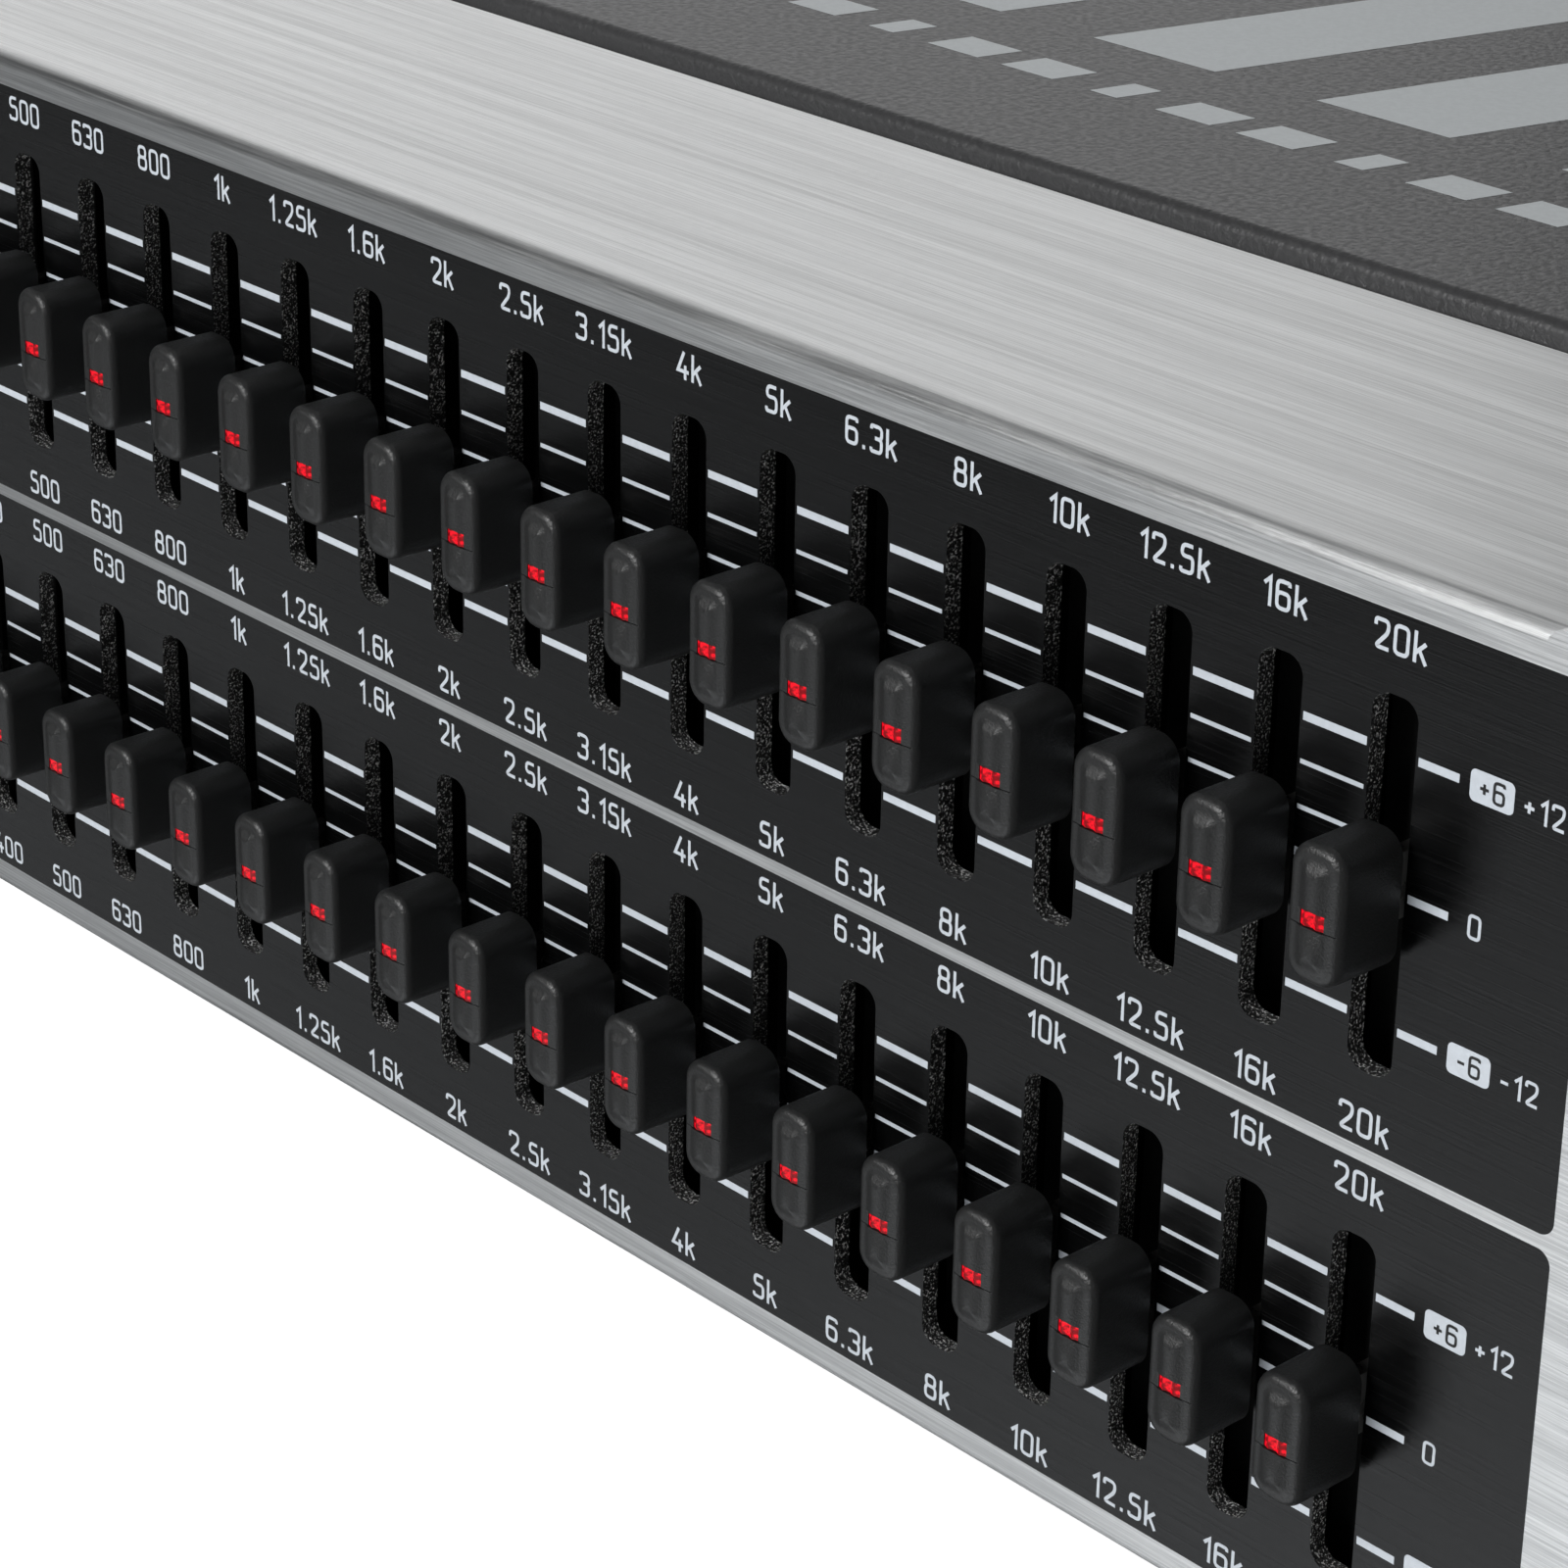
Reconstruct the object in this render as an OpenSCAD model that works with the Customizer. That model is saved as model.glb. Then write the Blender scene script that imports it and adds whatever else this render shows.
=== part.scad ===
// Two-channel, 31-band graphic equalizer for a 19 inch rack, two units high.
// Millimetres. X runs along the front, Y goes back, Z is up.
// The origin is at the middle of the underside. The modules below are drawn with Y = 0 at the
// front face, and placed() moves each of them to the origin.

/* [Front panel] */
// Width over the rack ears
panel_w = 482.6; // [480:0.1:485]
// Height of the aluminium front
panel_h = 86; // [84:0.5:87]
// Thickness of the aluminium sheet
panel_t = 1.6; // [1.2:0.1:2]
// Width of the folded part between the ears
body_w = 438; // [434:1:440]
// Depth of the top and bottom flanges of the front
flange_d = 43.2; // [38:0.2:50]
// Outer radius of the folds of the front
fold_r = 1.2; // [0.8:0.1:1.5]
// Distance between the rack slots along the panel
rack_spacing_x = 465.1; // [464:0.1:466]
// Distance between the rack slots up the panel
rack_spacing_z = 76.2; // [76:0.1:76.4]
// Length of a rack slot
rack_slot_l = 10.3; // [8:0.1:11]
// Height of a rack slot
rack_slot_h = 6.4; // [6:0.1:6.8]

/* [Faders] */
// Distance between neighbouring faders
pitch = 10.16; // [10:0.01:10.4]
// Place of the highest band's slot, right of the middle
last_band_x = 203.3; // [200:0.1:206]
// Travel of a fader to each side of its middle
travel = 10; // [8:0.5:10]
// Width of a fader slot
slot_w = 4; // [3.6:0.1:4.4]
// Length of a fader slot
slot_l = 28; // [27:0.2:30]
// Corner radius of a fader slot
slot_r = 1.5; // [1:0.1:1.8]
// Width of a fader cap
cap_w = 4.7; // [4.4:0.1:5.2]
// Height of a fader cap
cap_h = 10; // [9:0.1:11]
// Distance of a cap's face in front of the panel
cap_d = 7.3; // [6:0.1:8]
// Gap between a cap and the panel
cap_gap = 1; // [0.6:0.1:1.4]

/* [Housing] */
// Depth from the front face to the rear wall
body_d = 215; // [205:1:230]
// Thickness of the steel sheet
sheet_t = 1.2; // [1:0.1:1.5]
// Height of the cover's top over the aluminium front
cover_rise = 2; // [1.8:0.1:2.4]
// Radius of the cover's front edge
cover_r = 1.1; // [0.8:0.1:1.2]

/* [Controls] */
// Diameter of a level knob
knob_d = 17; // [14:0.5:19]
// Width of a push button
button_w = 10; // [8:0.5:12]
// Height of a push button
button_h = 6.4; // [5:0.1:7]
// Travel of a push button
button_travel = 2.5; // [1.5:0.1:2.6]

/* [Hidden] */
$fn = 48;
big = 400;
bands = ["20_hz", "25_hz", "31_5_hz", "40_hz", "50_hz", "63_hz", "80_hz", "100_hz", "125_hz",
    "160_hz", "200_hz", "250_hz", "315_hz", "400_hz", "500_hz", "630_hz", "800_hz", "1_khz",
    "1_25_khz", "1_6_khz", "2_khz", "2_5_khz", "3_15_khz", "4_khz", "5_khz", "6_3_khz", "8_khz",
    "10_khz", "12_5_khz", "16_khz", "20_khz"];
fader_nodes = [for (band = bands) str("fader_", band)];
band_count = len(bands);

// Fader rows: the rows are four pitches apart, half way up the panel
row_spacing = 4 * pitch;
upper_z = panel_h / 2 + row_spacing / 2;
lower_z = panel_h / 2 - row_spacing / 2;
rows = [upper_z, lower_z];
function band_x(i) = last_band_x - (band_count - 1 - i) * pitch;

// Fader caps
cap_corner_r = 1.5;
cap_edge_r = 0.7;
groove_w = cap_w - 0.6;
groove_top = 0.35;
groove_low = -0.85;
groove_lip = -1.3;
groove_d = 0.4;
lens_w = 2;
lens_pocket_d = 0.5;
lever_w = 1.2;
lever_h = 5;
lever_end = 9;
carriage_w = 4.6;
carriage_h = 6;
carriage_d = 2;

// Fader housings, behind the panel and in front of the board
housing_w = 8;
housing_l = 36;
housing_front = 4.5;
housing_d = 7.5;
housing_wall = 0.6;
housing_mouth_w = 2;
housing_mouth_l = 2 * (travel + lever_h / 2 + 1);
board_t = 1.6;
board_front = housing_front + housing_d;
board_w = 424;
board_h = 78;

// Steel housing
cover_top = panel_h + cover_rise;
cover_half_w = body_w / 2;
inner_half_w = cover_half_w - sheet_t;
cover_front = flange_d + 0.2;
cover_bottom = 0.3;
cover_side_r = 1.6;
lip_bottom = panel_h - 4;
joggle_y = flange_d + 0.6;
tongue_front = 6;
rear_in = body_d - sheet_t;
side_flange_h = 22;
side_flange_front = 46;
top_flange_d = 14;
vent_count = 9;
vent_w = 2.5;
vent_l = 34;
vent_spacing = 7;
vent_first_y = 112;

// Screws
screw_d = 2.9;
screw_hole_d = 3.3;
side_screw_y = [66, 138, 200];
side_screw_z = 11;
rear_screw_x = [-160, 0, 160];
rear_screw_y = body_d - 8;
panel_screw_x = [-205, -105, 0, 105, 205];
panel_screw_y = 32;
csk_head_d = 5.6;
csk_head_h = 1.4;
pan_head_d = 5.6;
pan_head_h = 1.8;

// Controls at the left end of the front
knob_x = -198;
meter_x = -176;
bypass_x = -155;
shift_x = -134;
knob_front = -15;
knob_back = -1.2;
shaft_d = 6;
shaft_hole_d = 7;
shaft_end = 9;
pot_front = 4.5;
pot_size = 13;
meter_w = 6;
meter_h = 28;
meter_hole_gap = 0.15;
button_gap = 0.35;
button_front = -3.5;
button_back = 4;
stem_w = 3;
stem_end = 9;
switch_front = button_back + button_travel + 0.7;
switch_size = 9;

// Main board and what stands on it
main_x = [-92, 206];
main_y = [58, 186];
main_z = 9;
main_top = main_z + board_t;
main_post_x = [-84, 57, 198];
main_post_y = [66, 178];
front_post_x = [-206, -119, -15, 92, 209];
post_d = 4;
ribbon_x = [-20, 110];
ribbon_w = 34;
ribbon_t = 0.9;
ribbon_z = 31;
ribbon_y = 70;
header_d = 6;
header_h = 7;
transformer_at = [-155, 120];
transformer_r = 38;
transformer_hole_r = 12;
transformer_h = 36;

// Rear connectors
xlr_x = [60, 100, 140, 180];
xlr_is_input = [false, false, true, true];
xlr_z = 58;
xlr_flange_w = 26;
xlr_flange_h = 31;
xlr_flange_t = 2;
xlr_barrel_d = 23.6;
xlr_cup_d = 18.6;
xlr_depth = 20;
jack_z = 22;
jack_bore_d = 6.4;
jack_thread_d = 9.4;
jack_hole_d = 9.8;
jack_body = 15;
jack_depth = 24;
jack_thread_out = 4.2;
nut_d = 13.5;
nut_t = 2;
inlet_x = -178;
inlet_z = 44;
inlet_w = 27;
inlet_h = 19.6;
inlet_cavity_w = 24;
inlet_cavity_h = 16.4;
inlet_depth = 18;
inlet_flange_t = 2;
rocker_x = -132;
rocker_z = 44;
rocker_w = 12;
rocker_tilt = 7;
rocker_pivot_y = body_d - 2.4;
rocker_frame_w = 16.4;
rocker_frame_h = 22;
rocker_frame_depth = 14;
rocker_pin_d = 2;

// Half way from the knobs' faces to the ends of the jacks' threads
middle_y = (body_d + jack_thread_out + knob_front) / 2;

// Moves a sub-part drawn from the front face to the part's own origin
module placed() {
    translate([0, -middle_y, 0]) children();
}

// A rectangle with round corners, centred on the origin
module round_rect(w, h, r) {
    square([w - 2 * r, h], center = true);
    square([w, h - 2 * r], center = true);
    for (sx = [-1, 1], sy = [-1, 1])
        translate([sx * (w / 2 - r), sy * (h / 2 - r)]) circle(r);
}

// A slot with full round ends, long in X, centred on the origin
module oblong(l, w) {
    square([l - w, w], center = true);
    for (side = [-1, 1]) translate([side * (l - w) / 2, 0]) circle(d = w);
}

// Extrudes an outline drawn in X and Z backwards from y0 to y1
module along_y(y0, y1) {
    translate([0, y1, 0]) rotate([90, 0, 0]) linear_extrude(y1 - y0) children();
}

// Extrudes an outline drawn in Y and Z across from x0 to x1
module along_x(x0, x1) {
    translate([x0, 0, 0]) rotate([90, 0, 90]) linear_extrude(x1 - x0) children();
}

// A cylinder along Y
module rod_y(d, y0, y1) {
    along_y(y0, y1) circle(d = d);
}

// A box between two corners
module box(a, b) {
    translate(a) cube(b - a);
}

// A countersunk screw that points up, with its head's flat face at the origin
module csk_screw(l) {
    cylinder(h = csk_head_h, d1 = csk_head_d, d2 = screw_d);
    translate([0, 0, csk_head_h / 2]) cylinder(h = l - csk_head_h / 2, d = screw_d);
}

// The countersink and through hole that such a screw sits in
module csk_hole(l) {
    gap = screw_hole_d - screw_d;
    translate([0, 0, -0.01]) cylinder(h = csk_head_h, d1 = csk_head_d + gap, d2 = screw_hole_d);
    translate([0, 0, -1]) cylinder(h = l + 1, d = screw_hole_d);
}

// ---- Front ----

// Section of the folded front: a wall with a flange at the top and the bottom
module front_section() {
    difference() {
        intersection() {
            translate([flange_d, panel_h / 2]) round_rect(2 * flange_d, panel_h, fold_r);
            square([flange_d, panel_h]);
        }
        translate([flange_d + panel_t, panel_h / 2])
            round_rect(2 * flange_d, panel_h - 2 * panel_t, 0.3);
    }
}

module rack_ears() {
    overlap = 4;
    ear_w = (panel_w - body_w) / 2 + overlap;
    for (side = [-1, 1])
        translate([side * (panel_w / 2 - ear_w / 2), 0, panel_h / 2])
            along_y(0, panel_t) round_rect(ear_w, panel_h, 1.5);
}

module rack_slots() {
    for (sx = [-1, 1], sz = [-1, 1])
        translate([sx * rack_spacing_x / 2, 0, panel_h / 2 + sz * rack_spacing_z / 2])
            along_y(-1, panel_t + 1) oblong(rack_slot_l, rack_slot_h);
}

module fader_slots() {
    for (i = [0 : band_count - 1], z = rows)
        translate([band_x(i), 0, z])
            along_y(-1, panel_t + 1) round_rect(slot_w, slot_l, slot_r);
}

module control_holes() {
    for (z = rows) {
        translate([knob_x, 0, z]) rod_y(shaft_hole_d, -1, panel_t + 1);
        translate([meter_x, 0, z]) along_y(-1, panel_t + 1)
            square([meter_w + 2 * meter_hole_gap, meter_h + 2 * meter_hole_gap], center = true);
        for (x = [bypass_x, shift_x])
            translate([x, 0, z]) along_y(-1, panel_t + 1)
                square([button_w + 2 * button_gap, button_h + 2 * button_gap], center = true);
    }
}

module front_panel() {
    color("silver") difference() {
        union() {
            along_x(-body_w / 2, body_w / 2) front_section();
            rack_ears();
        }
        rack_slots();
        fader_slots();
        control_holes();
        for (x = panel_screw_x) translate([x, panel_screw_y, 0]) csk_hole(panel_t + 1);
    }
}

module panel_screws() {
    color("gainsboro") for (x = panel_screw_x) translate([x, panel_screw_y, 0]) csk_screw(6);
}

// ---- Faders ----

// One moulded cap: round corners on its face outline and round edges to the face
module cap_shell() {
    long = 4 * cap_d;
    intersection() {
        along_y(-cap_d, -cap_gap) round_rect(cap_w, cap_h, cap_corner_r);
        translate([0, long / 2 - cap_d, -cap_h])
            linear_extrude(2 * cap_h) round_rect(cap_w, long, cap_edge_r);
        along_x(-cap_w, cap_w) translate([long / 2 - cap_d, 0]) round_rect(long, cap_h, cap_edge_r);
    }
}

// The step across the face, deepest over its lower lip
module cap_groove() {
    along_x(-groove_w / 2, groove_w / 2)
        polygon([[-cap_d - 1, groove_top], [-cap_d + groove_d, groove_top],
            [-cap_d + groove_d, groove_low], [-cap_d, groove_lip], [-cap_d - 1, groove_lip]]);
}

module cap_and_lever() {
    difference() {
        cap_shell();
        cap_groove();
        box([-lens_w / 2, -cap_d - 1, groove_low],
            [lens_w / 2, -cap_d + groove_d + lens_pocket_d, groove_top - 0.15]);
    }
    box([-lever_w / 2, -cap_gap - 0.5, -lever_h / 2], [lever_w / 2, lever_end, lever_h / 2]);
    box([-carriage_w / 2, lever_end - carriage_d, -carriage_h / 2],
        [carriage_w / 2, lever_end, carriage_h / 2]);
}

// The two channels' caps and levers of one band
module fader(i) {
    color("dimgray") for (z = rows) translate([band_x(i), 0, z]) cap_and_lever();
}

module fader_housings() {
    cavity_w = housing_w - 2 * housing_wall;
    cavity_l = housing_l - 2 * housing_wall;
    cavity_y = housing_front + housing_wall;
    color("lightgray") for (i = [0 : band_count - 1], z = rows) translate([band_x(i), 0, z])
        difference() {
            box([-housing_w / 2, housing_front, -housing_l / 2],
                [housing_w / 2, board_front, housing_l / 2]);
            box([-cavity_w / 2, cavity_y, -cavity_l / 2],
                [cavity_w / 2, board_front - housing_wall, cavity_l / 2]);
            box([-housing_mouth_w / 2, housing_front - 1, -housing_mouth_l / 2],
                [housing_mouth_w / 2, cavity_y + 1, housing_mouth_l / 2]);
        }
}

module front_board() {
    color("darkgreen") difference() {
        translate([0, 0, panel_h / 2]) along_y(board_front, board_front + board_t)
            square([board_w, board_h], center = true);
        for (x = front_post_x)
            translate([x, 0, panel_h / 2]) rod_y(2.5, board_front - 1, board_front + board_t + 1);
    }
}

// ---- Controls ----

module push_button(x, z) {
    color("black") translate([x, 0, z]) {
        intersection() {
            along_y(button_front, button_back) round_rect(button_w, button_h, 0.6);
            translate([0, 10 + button_front, -button_h])
                linear_extrude(2 * button_h) round_rect(button_w, 20, 0.5);
            along_x(-button_w, button_w) translate([10 + button_front, 0])
                round_rect(20, button_h, 0.5);
        }
        box([-stem_w / 2, button_back - 0.5, -stem_w / 2], [stem_w / 2, stem_end, stem_w / 2]);
    }
}

// A knob with a waist below its grip, a pointer groove and its shaft
module level_knob(z) {
    r = knob_d / 2;
    color("black") translate([knob_x, 0, z]) {
        difference() {
            rotate([90, 0, 0]) rotate_extrude() {
                polygon([[0, -knob_back], [r, -knob_back], [r, -knob_back + 1.6],
                    [r - 1, -knob_back + 2.6], [r - 1.8, -knob_front - 0.8],
                    [r - 2.6, -knob_front], [0, -knob_front]]);
            }
            box([-0.5, knob_front - 1, 1], [0.5, knob_front + 0.5, r]);
        }
        rod_y(shaft_d, knob_back - 2, shaft_end);
    }
}

module pots_and_switches() {
    color("dimgray") for (z = rows) {
        translate([knob_x, 0, z]) difference() {
            box([-pot_size / 2, pot_front, -pot_size / 2], [pot_size / 2, board_front, pot_size / 2]);
            rod_y(shaft_d + 0.16, pot_front - 1, shaft_end + 0.4);
        }
        for (x = [bypass_x, shift_x]) translate([x, 0, z]) difference() {
            box([-switch_size / 2, switch_front, -switch_size / 2],
                [switch_size / 2, board_front, switch_size / 2]);
            box([-stem_w / 2 - button_gap, switch_front - 1, -stem_w / 2 - button_gap],
                [stem_w / 2 + button_gap, board_front - 0.2, stem_w / 2 + button_gap]);
        }
    }
}

// A column of light segments in a black bezel, one for each channel
module level_meters() {
    segments = 9;
    step = 3;
    color("black") for (z = rows) translate([meter_x, 0, z]) difference() {
        union() {
            box([-meter_w / 2, -0.4, -meter_h / 2], [meter_w / 2, board_front, meter_h / 2]);
            box([-meter_w / 2 - 1.5, panel_t + 0.2, -meter_h / 2 - 1.5],
                [meter_w / 2 + 1.5, board_front, meter_h / 2 + 1.5]);
        }
        for (i = [0 : segments - 1])
            translate([0, -0.4, (i - (segments - 1) / 2) * step])
                cube([4, 1, 1.8], center = true);
    }
}

// ---- Steel housing ----

// The outside of the cover behind the front, grown or shrunk by a wall
module cover_block(wall, y0, y1) {
    half_w = cover_half_w - wall;
    top = cover_top - wall;
    side_r = max(cover_side_r - wall, 0.3);
    front_r = max(cover_r - wall, 0.2);
    intersection() {
        along_y(y0, y1) translate([0, top - panel_h]) round_rect(2 * half_w, 2 * panel_h, side_r);
        along_x(-half_w, half_w)
            translate([y0 + body_d, top - panel_h]) round_rect(2 * body_d, 2 * panel_h, front_r);
        box([-big, y0, cover_bottom - wall], [big, y1, cover_top]);
    }
}

module side_vents() {
    for (i = [0 : vent_count - 1])
        translate([0, vent_first_y + i * vent_spacing, panel_h / 2 + 12])
            along_x(-big, big) rotate(90) oblong(vent_l, vent_w);
}

module top_cover() {
    color([0.13, 0.13, 0.14]) difference() {
        union() {
            difference() {
                cover_block(0, cover_front, body_d);
                cover_block(sheet_t, cover_front + sheet_t, body_d + 1);
                box([-inner_half_w, cover_front - 1, -1], [inner_half_w, joggle_y + 1, lip_bottom]);
            }
            for (side = [-1, 1])
                box([side > 0 ? inner_half_w : -cover_half_w, panel_t + 0.2, panel_t + 0.2],
                    [side > 0 ? cover_half_w : -inner_half_w, cover_front, panel_h - panel_t - 0.2]);
        }
        side_vents();
        for (y = side_screw_y)
            translate([-big, y, side_screw_z]) rotate([0, 90, 0]) cylinder(h = 2 * big, d = screw_hole_d);
        for (x = rear_screw_x)
            translate([x, rear_screw_y, cover_top]) rotate([180, 0, 0]) csk_hole(sheet_t + 1);
    }
}

// Section of the tray: tongue, floor, rear wall and the fold over the rear wall
module tray_section() {
    t = sheet_t;
    roof = cover_top - sheet_t;
    polygon([[tongue_front, panel_t], [joggle_y, panel_t], [joggle_y, 0], [body_d, 0],
        [body_d, roof], [body_d - top_flange_d, roof], [body_d - top_flange_d, roof - t],
        [rear_in, roof - t], [rear_in, t], [joggle_y + t, t], [joggle_y + t, panel_t + t],
        [tongue_front, panel_t + t]]);
}

module rear_holes() {
    for (x = xlr_x) {
        translate([x, 0, xlr_z]) rod_y(xlr_barrel_d + 0.4, rear_in - 1, body_d + 1);
        translate([x, 0, jack_z]) rod_y(jack_hole_d, rear_in - 1, body_d + 1);
    }
    translate([inlet_x, 0, inlet_z]) along_y(rear_in - 1, body_d + 1)
        square([inlet_w + 0.3, inlet_h + 0.3], center = true);
    translate([rocker_x, 0, rocker_z]) along_y(rear_in - 1, body_d + 1)
        square([rocker_frame_w - 1.8, rocker_frame_h - 1.8], center = true);
}

module chassis_tray() {
    color([0.16, 0.16, 0.17]) difference() {
        union() {
            along_x(-inner_half_w, inner_half_w) tray_section();
            for (side = [-1, 1])
                box([side > 0 ? inner_half_w - sheet_t : -inner_half_w, side_flange_front, 0],
                    [side > 0 ? inner_half_w : -inner_half_w + sheet_t, rear_in + 0.1, side_flange_h]);
        }
        rear_holes();
        for (y = side_screw_y)
            translate([-big, y, side_screw_z]) rotate([0, 90, 0]) cylinder(h = 2 * big, d = screw_hole_d);
        for (x = rear_screw_x) translate([x, rear_screw_y, 60]) cylinder(h = 40, d = screw_hole_d);
        for (x = panel_screw_x) translate([x, panel_screw_y, -1]) cylinder(h = 6, d = screw_hole_d);
        for (x = main_post_x, y = main_post_y) translate([x, y, -1]) cylinder(h = 4, d = 2.5);
    }
}

module cover_screws() {
    color("dimgray") {
        for (side = [-1, 1], y = side_screw_y)
            translate([side * cover_half_w, y, side_screw_z]) rotate([0, side * 90, 0]) {
                cylinder(h = pan_head_h, d1 = pan_head_d, d2 = pan_head_d - 1.4);
                translate([0, 0, -5]) cylinder(h = 5.5, d = screw_d);
            }
        for (x = rear_screw_x)
            translate([x, rear_screw_y, cover_top]) rotate([180, 0, 0]) csk_screw(6);
    }
}

// ---- Inside ----

module standoffs() {
    color("gold") {
        for (x = front_post_x)
            translate([x, 0, panel_h / 2]) rod_y(post_d, panel_t, board_front);
        for (x = main_post_x, y = main_post_y)
            translate([x, y, sheet_t]) cylinder(h = main_z - sheet_t, d = post_d + 1);
    }
}

module main_board() {
    color("darkgreen") difference() {
        box([main_x[0], main_y[0], main_z], [main_x[1], main_y[1], main_top]);
        for (x = main_post_x, y = main_post_y)
            translate([x, y, main_z - 1]) cylinder(h = board_t + 2, d = 3.2);
    }
}

module chips() {
    columns = 9;
    color([0.1, 0.1, 0.1]) for (i = [0 : columns - 1], j = [0 : 2])
        box([-10 + i * 22, 92 + j * 24, main_top], [i * 22, 98 + j * 24, main_top + 3.4]);
}

module filter_capacitors() {
    color("midnightblue") for (i = [0 : 1], j = [0 : 1])
        translate([-64 + i * 22, 86 + j * 22, main_top]) rotate_extrude()
            polygon([[0, 0], [8, 0], [8, 1.5], [7.6, 2], [8, 2.5], [8, 24.5], [7.5, 25], [0, 25]]);
}

module heat_sink() {
    fins = 7;
    color("darkgray") translate([-66, 140, main_top]) {
        box([0, 0, 0], [40, 3, 30]);
        for (i = [0 : fins - 1]) box([i * 6, 2, 0], [i * 6 + 1.6, 16, 30]);
    }
}

module transformer() {
    corner = 5;
    mid_r = (transformer_r + transformer_hole_r) / 2;
    color("khaki") translate([transformer_at[0], transformer_at[1], sheet_t + transformer_h / 2])
        rotate_extrude() translate([mid_r, 0])
            round_rect(transformer_r - transformer_hole_r, transformer_h, corner);
}

// The dished washer and the bolt that hold the transformer down
module transformer_clamp() {
    top = sheet_t + transformer_h;
    color("silver") translate([transformer_at[0], transformer_at[1], 0]) {
        translate([0, 0, top]) cylinder(h = 1.5, d = 44);
        translate([0, 0, sheet_t]) cylinder(h = transformer_h + 1, d = 6);
        translate([0, 0, top + 1]) cylinder(h = 4.5, d = 10, $fn = 6);
    }
}

// Flat cables with a header at each end, from the front board down to the main board
module ribbon_cables() {
    back = board_front + board_t;
    start_y = back + header_d - 1;
    end_z = main_top + header_h - 1;
    inner_y = ribbon_y - ribbon_t;
    inner_z = ribbon_z - ribbon_t;
    color("lightslategray") for (x = ribbon_x) translate([x, 0, 0]) {
        along_x(0, ribbon_w)
            polygon([[start_y, ribbon_z], [ribbon_y, ribbon_z], [ribbon_y, end_z], [inner_y, end_z],
                [inner_y, inner_z], [start_y, inner_z]]);
        box([-2, back, ribbon_z - 4], [ribbon_w + 2, back + header_d, ribbon_z + 3]);
        box([-2, ribbon_y - 4, main_top], [ribbon_w + 2, ribbon_y + 3, main_top + header_h]);
    }
}

// ---- Rear connectors ----

module xlr_pin(x, z, y0, y1) {
    translate([x, 0, z]) rod_y(2.4, y0, y1);
}

// A flanged round socket: a cup with pins for an output, a cup with contact holes for an input
module xlr_socket(is_input) {
    face = body_d + xlr_flange_t;
    floor_y = face - (is_input ? 6 : 15);
    pins = [[-3.8, 1], [3.8, 1], [0, -3.8]];
    difference() {
        union() {
            along_y(body_d, face) round_rect(xlr_flange_w, xlr_flange_h, 3);
            rod_y(xlr_barrel_d, face - xlr_depth, face - 0.5);
        }
        rod_y(xlr_cup_d, floor_y, face + 1);
        for (s = [-1, 1]) translate([s * 9.5, 0, s * 12]) rod_y(3.2, body_d - 1, face + 1);
        if (is_input) for (p = pins) translate([p[0], 0, p[1]]) rod_y(2.6, floor_y - 9, floor_y + 1);
    }
    if (!is_input) for (p = pins) xlr_pin(p[0], p[1], floor_y - 1, face - 2.5);
}

module xlr_sockets() {
    color([0.2, 0.2, 0.2]) for (i = [0 : len(xlr_x) - 1])
        translate([xlr_x[i], 0, xlr_z]) xlr_socket(xlr_is_input[i]);
}

module phone_jacks() {
    color([0.12, 0.12, 0.12]) for (x = xlr_x) translate([x, 0, jack_z]) difference() {
        union() {
            box([-jack_body / 2, rear_in - jack_depth, -jack_body / 2],
                [jack_body / 2, rear_in, jack_body / 2]);
            rod_y(jack_thread_d, rear_in - 1, body_d + jack_thread_out);
        }
        rod_y(jack_bore_d, rear_in - jack_depth + 2, body_d + jack_thread_out + 1);
    }
}

module jack_nuts() {
    color("silver") for (x = xlr_x) translate([x, 0, jack_z]) difference() {
        along_y(body_d, body_d + nut_t) circle(d = nut_d, $fn = 6);
        rod_y(jack_thread_d + 0.1, body_d - 1, body_d + nut_t + 1);
    }
}

module mains_inlet() {
    half_w = inlet_cavity_w / 2;
    half_h = inlet_cavity_h / 2;
    cut = 5;
    color("black") translate([inlet_x, 0, inlet_z]) {
        difference() {
            union() {
                along_y(body_d, body_d + inlet_flange_t) round_rect(inlet_w + 4, inlet_h + 4.4, 1.5);
                along_y(body_d - inlet_depth, body_d + 0.5) square([inlet_w, inlet_h], center = true);
            }
            along_y(body_d - inlet_depth + 2, body_d + inlet_flange_t + 1)
                polygon([[-half_w, -half_h], [half_w, -half_h], [half_w, half_h - cut],
                    [half_w - cut, half_h], [-half_w + cut, half_h], [-half_w, half_h - cut]]);
        }
        for (p = [[-7, -2], [7, -2], [0, 2]])
            box([p[0] - 1, body_d - inlet_depth + 1, p[1] - 2], [p[0] + 1, body_d - 2, p[1] + 2]);
    }
}

module power_switch_frame() {
    mouth_w = rocker_w + 0.8;
    mouth_h = rocker_frame_h - 3.4;
    color([0.1, 0.1, 0.1]) translate([rocker_x, 0, rocker_z]) difference() {
        union() {
            along_y(body_d, body_d + 1.8) round_rect(rocker_frame_w, rocker_frame_h, 1);
            along_y(body_d - rocker_frame_depth, body_d + 0.5)
                square([rocker_frame_w - 2, rocker_frame_h - 2], center = true);
        }
        along_y(body_d - rocker_frame_depth + 3, body_d + 3) square([mouth_w, mouth_h], center = true);
        translate([-rocker_frame_w, rocker_pivot_y, 0]) rotate([0, 90, 0])
            cylinder(h = 2 * rocker_frame_w, d = rocker_pin_d + 0.1);
    }
}

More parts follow.
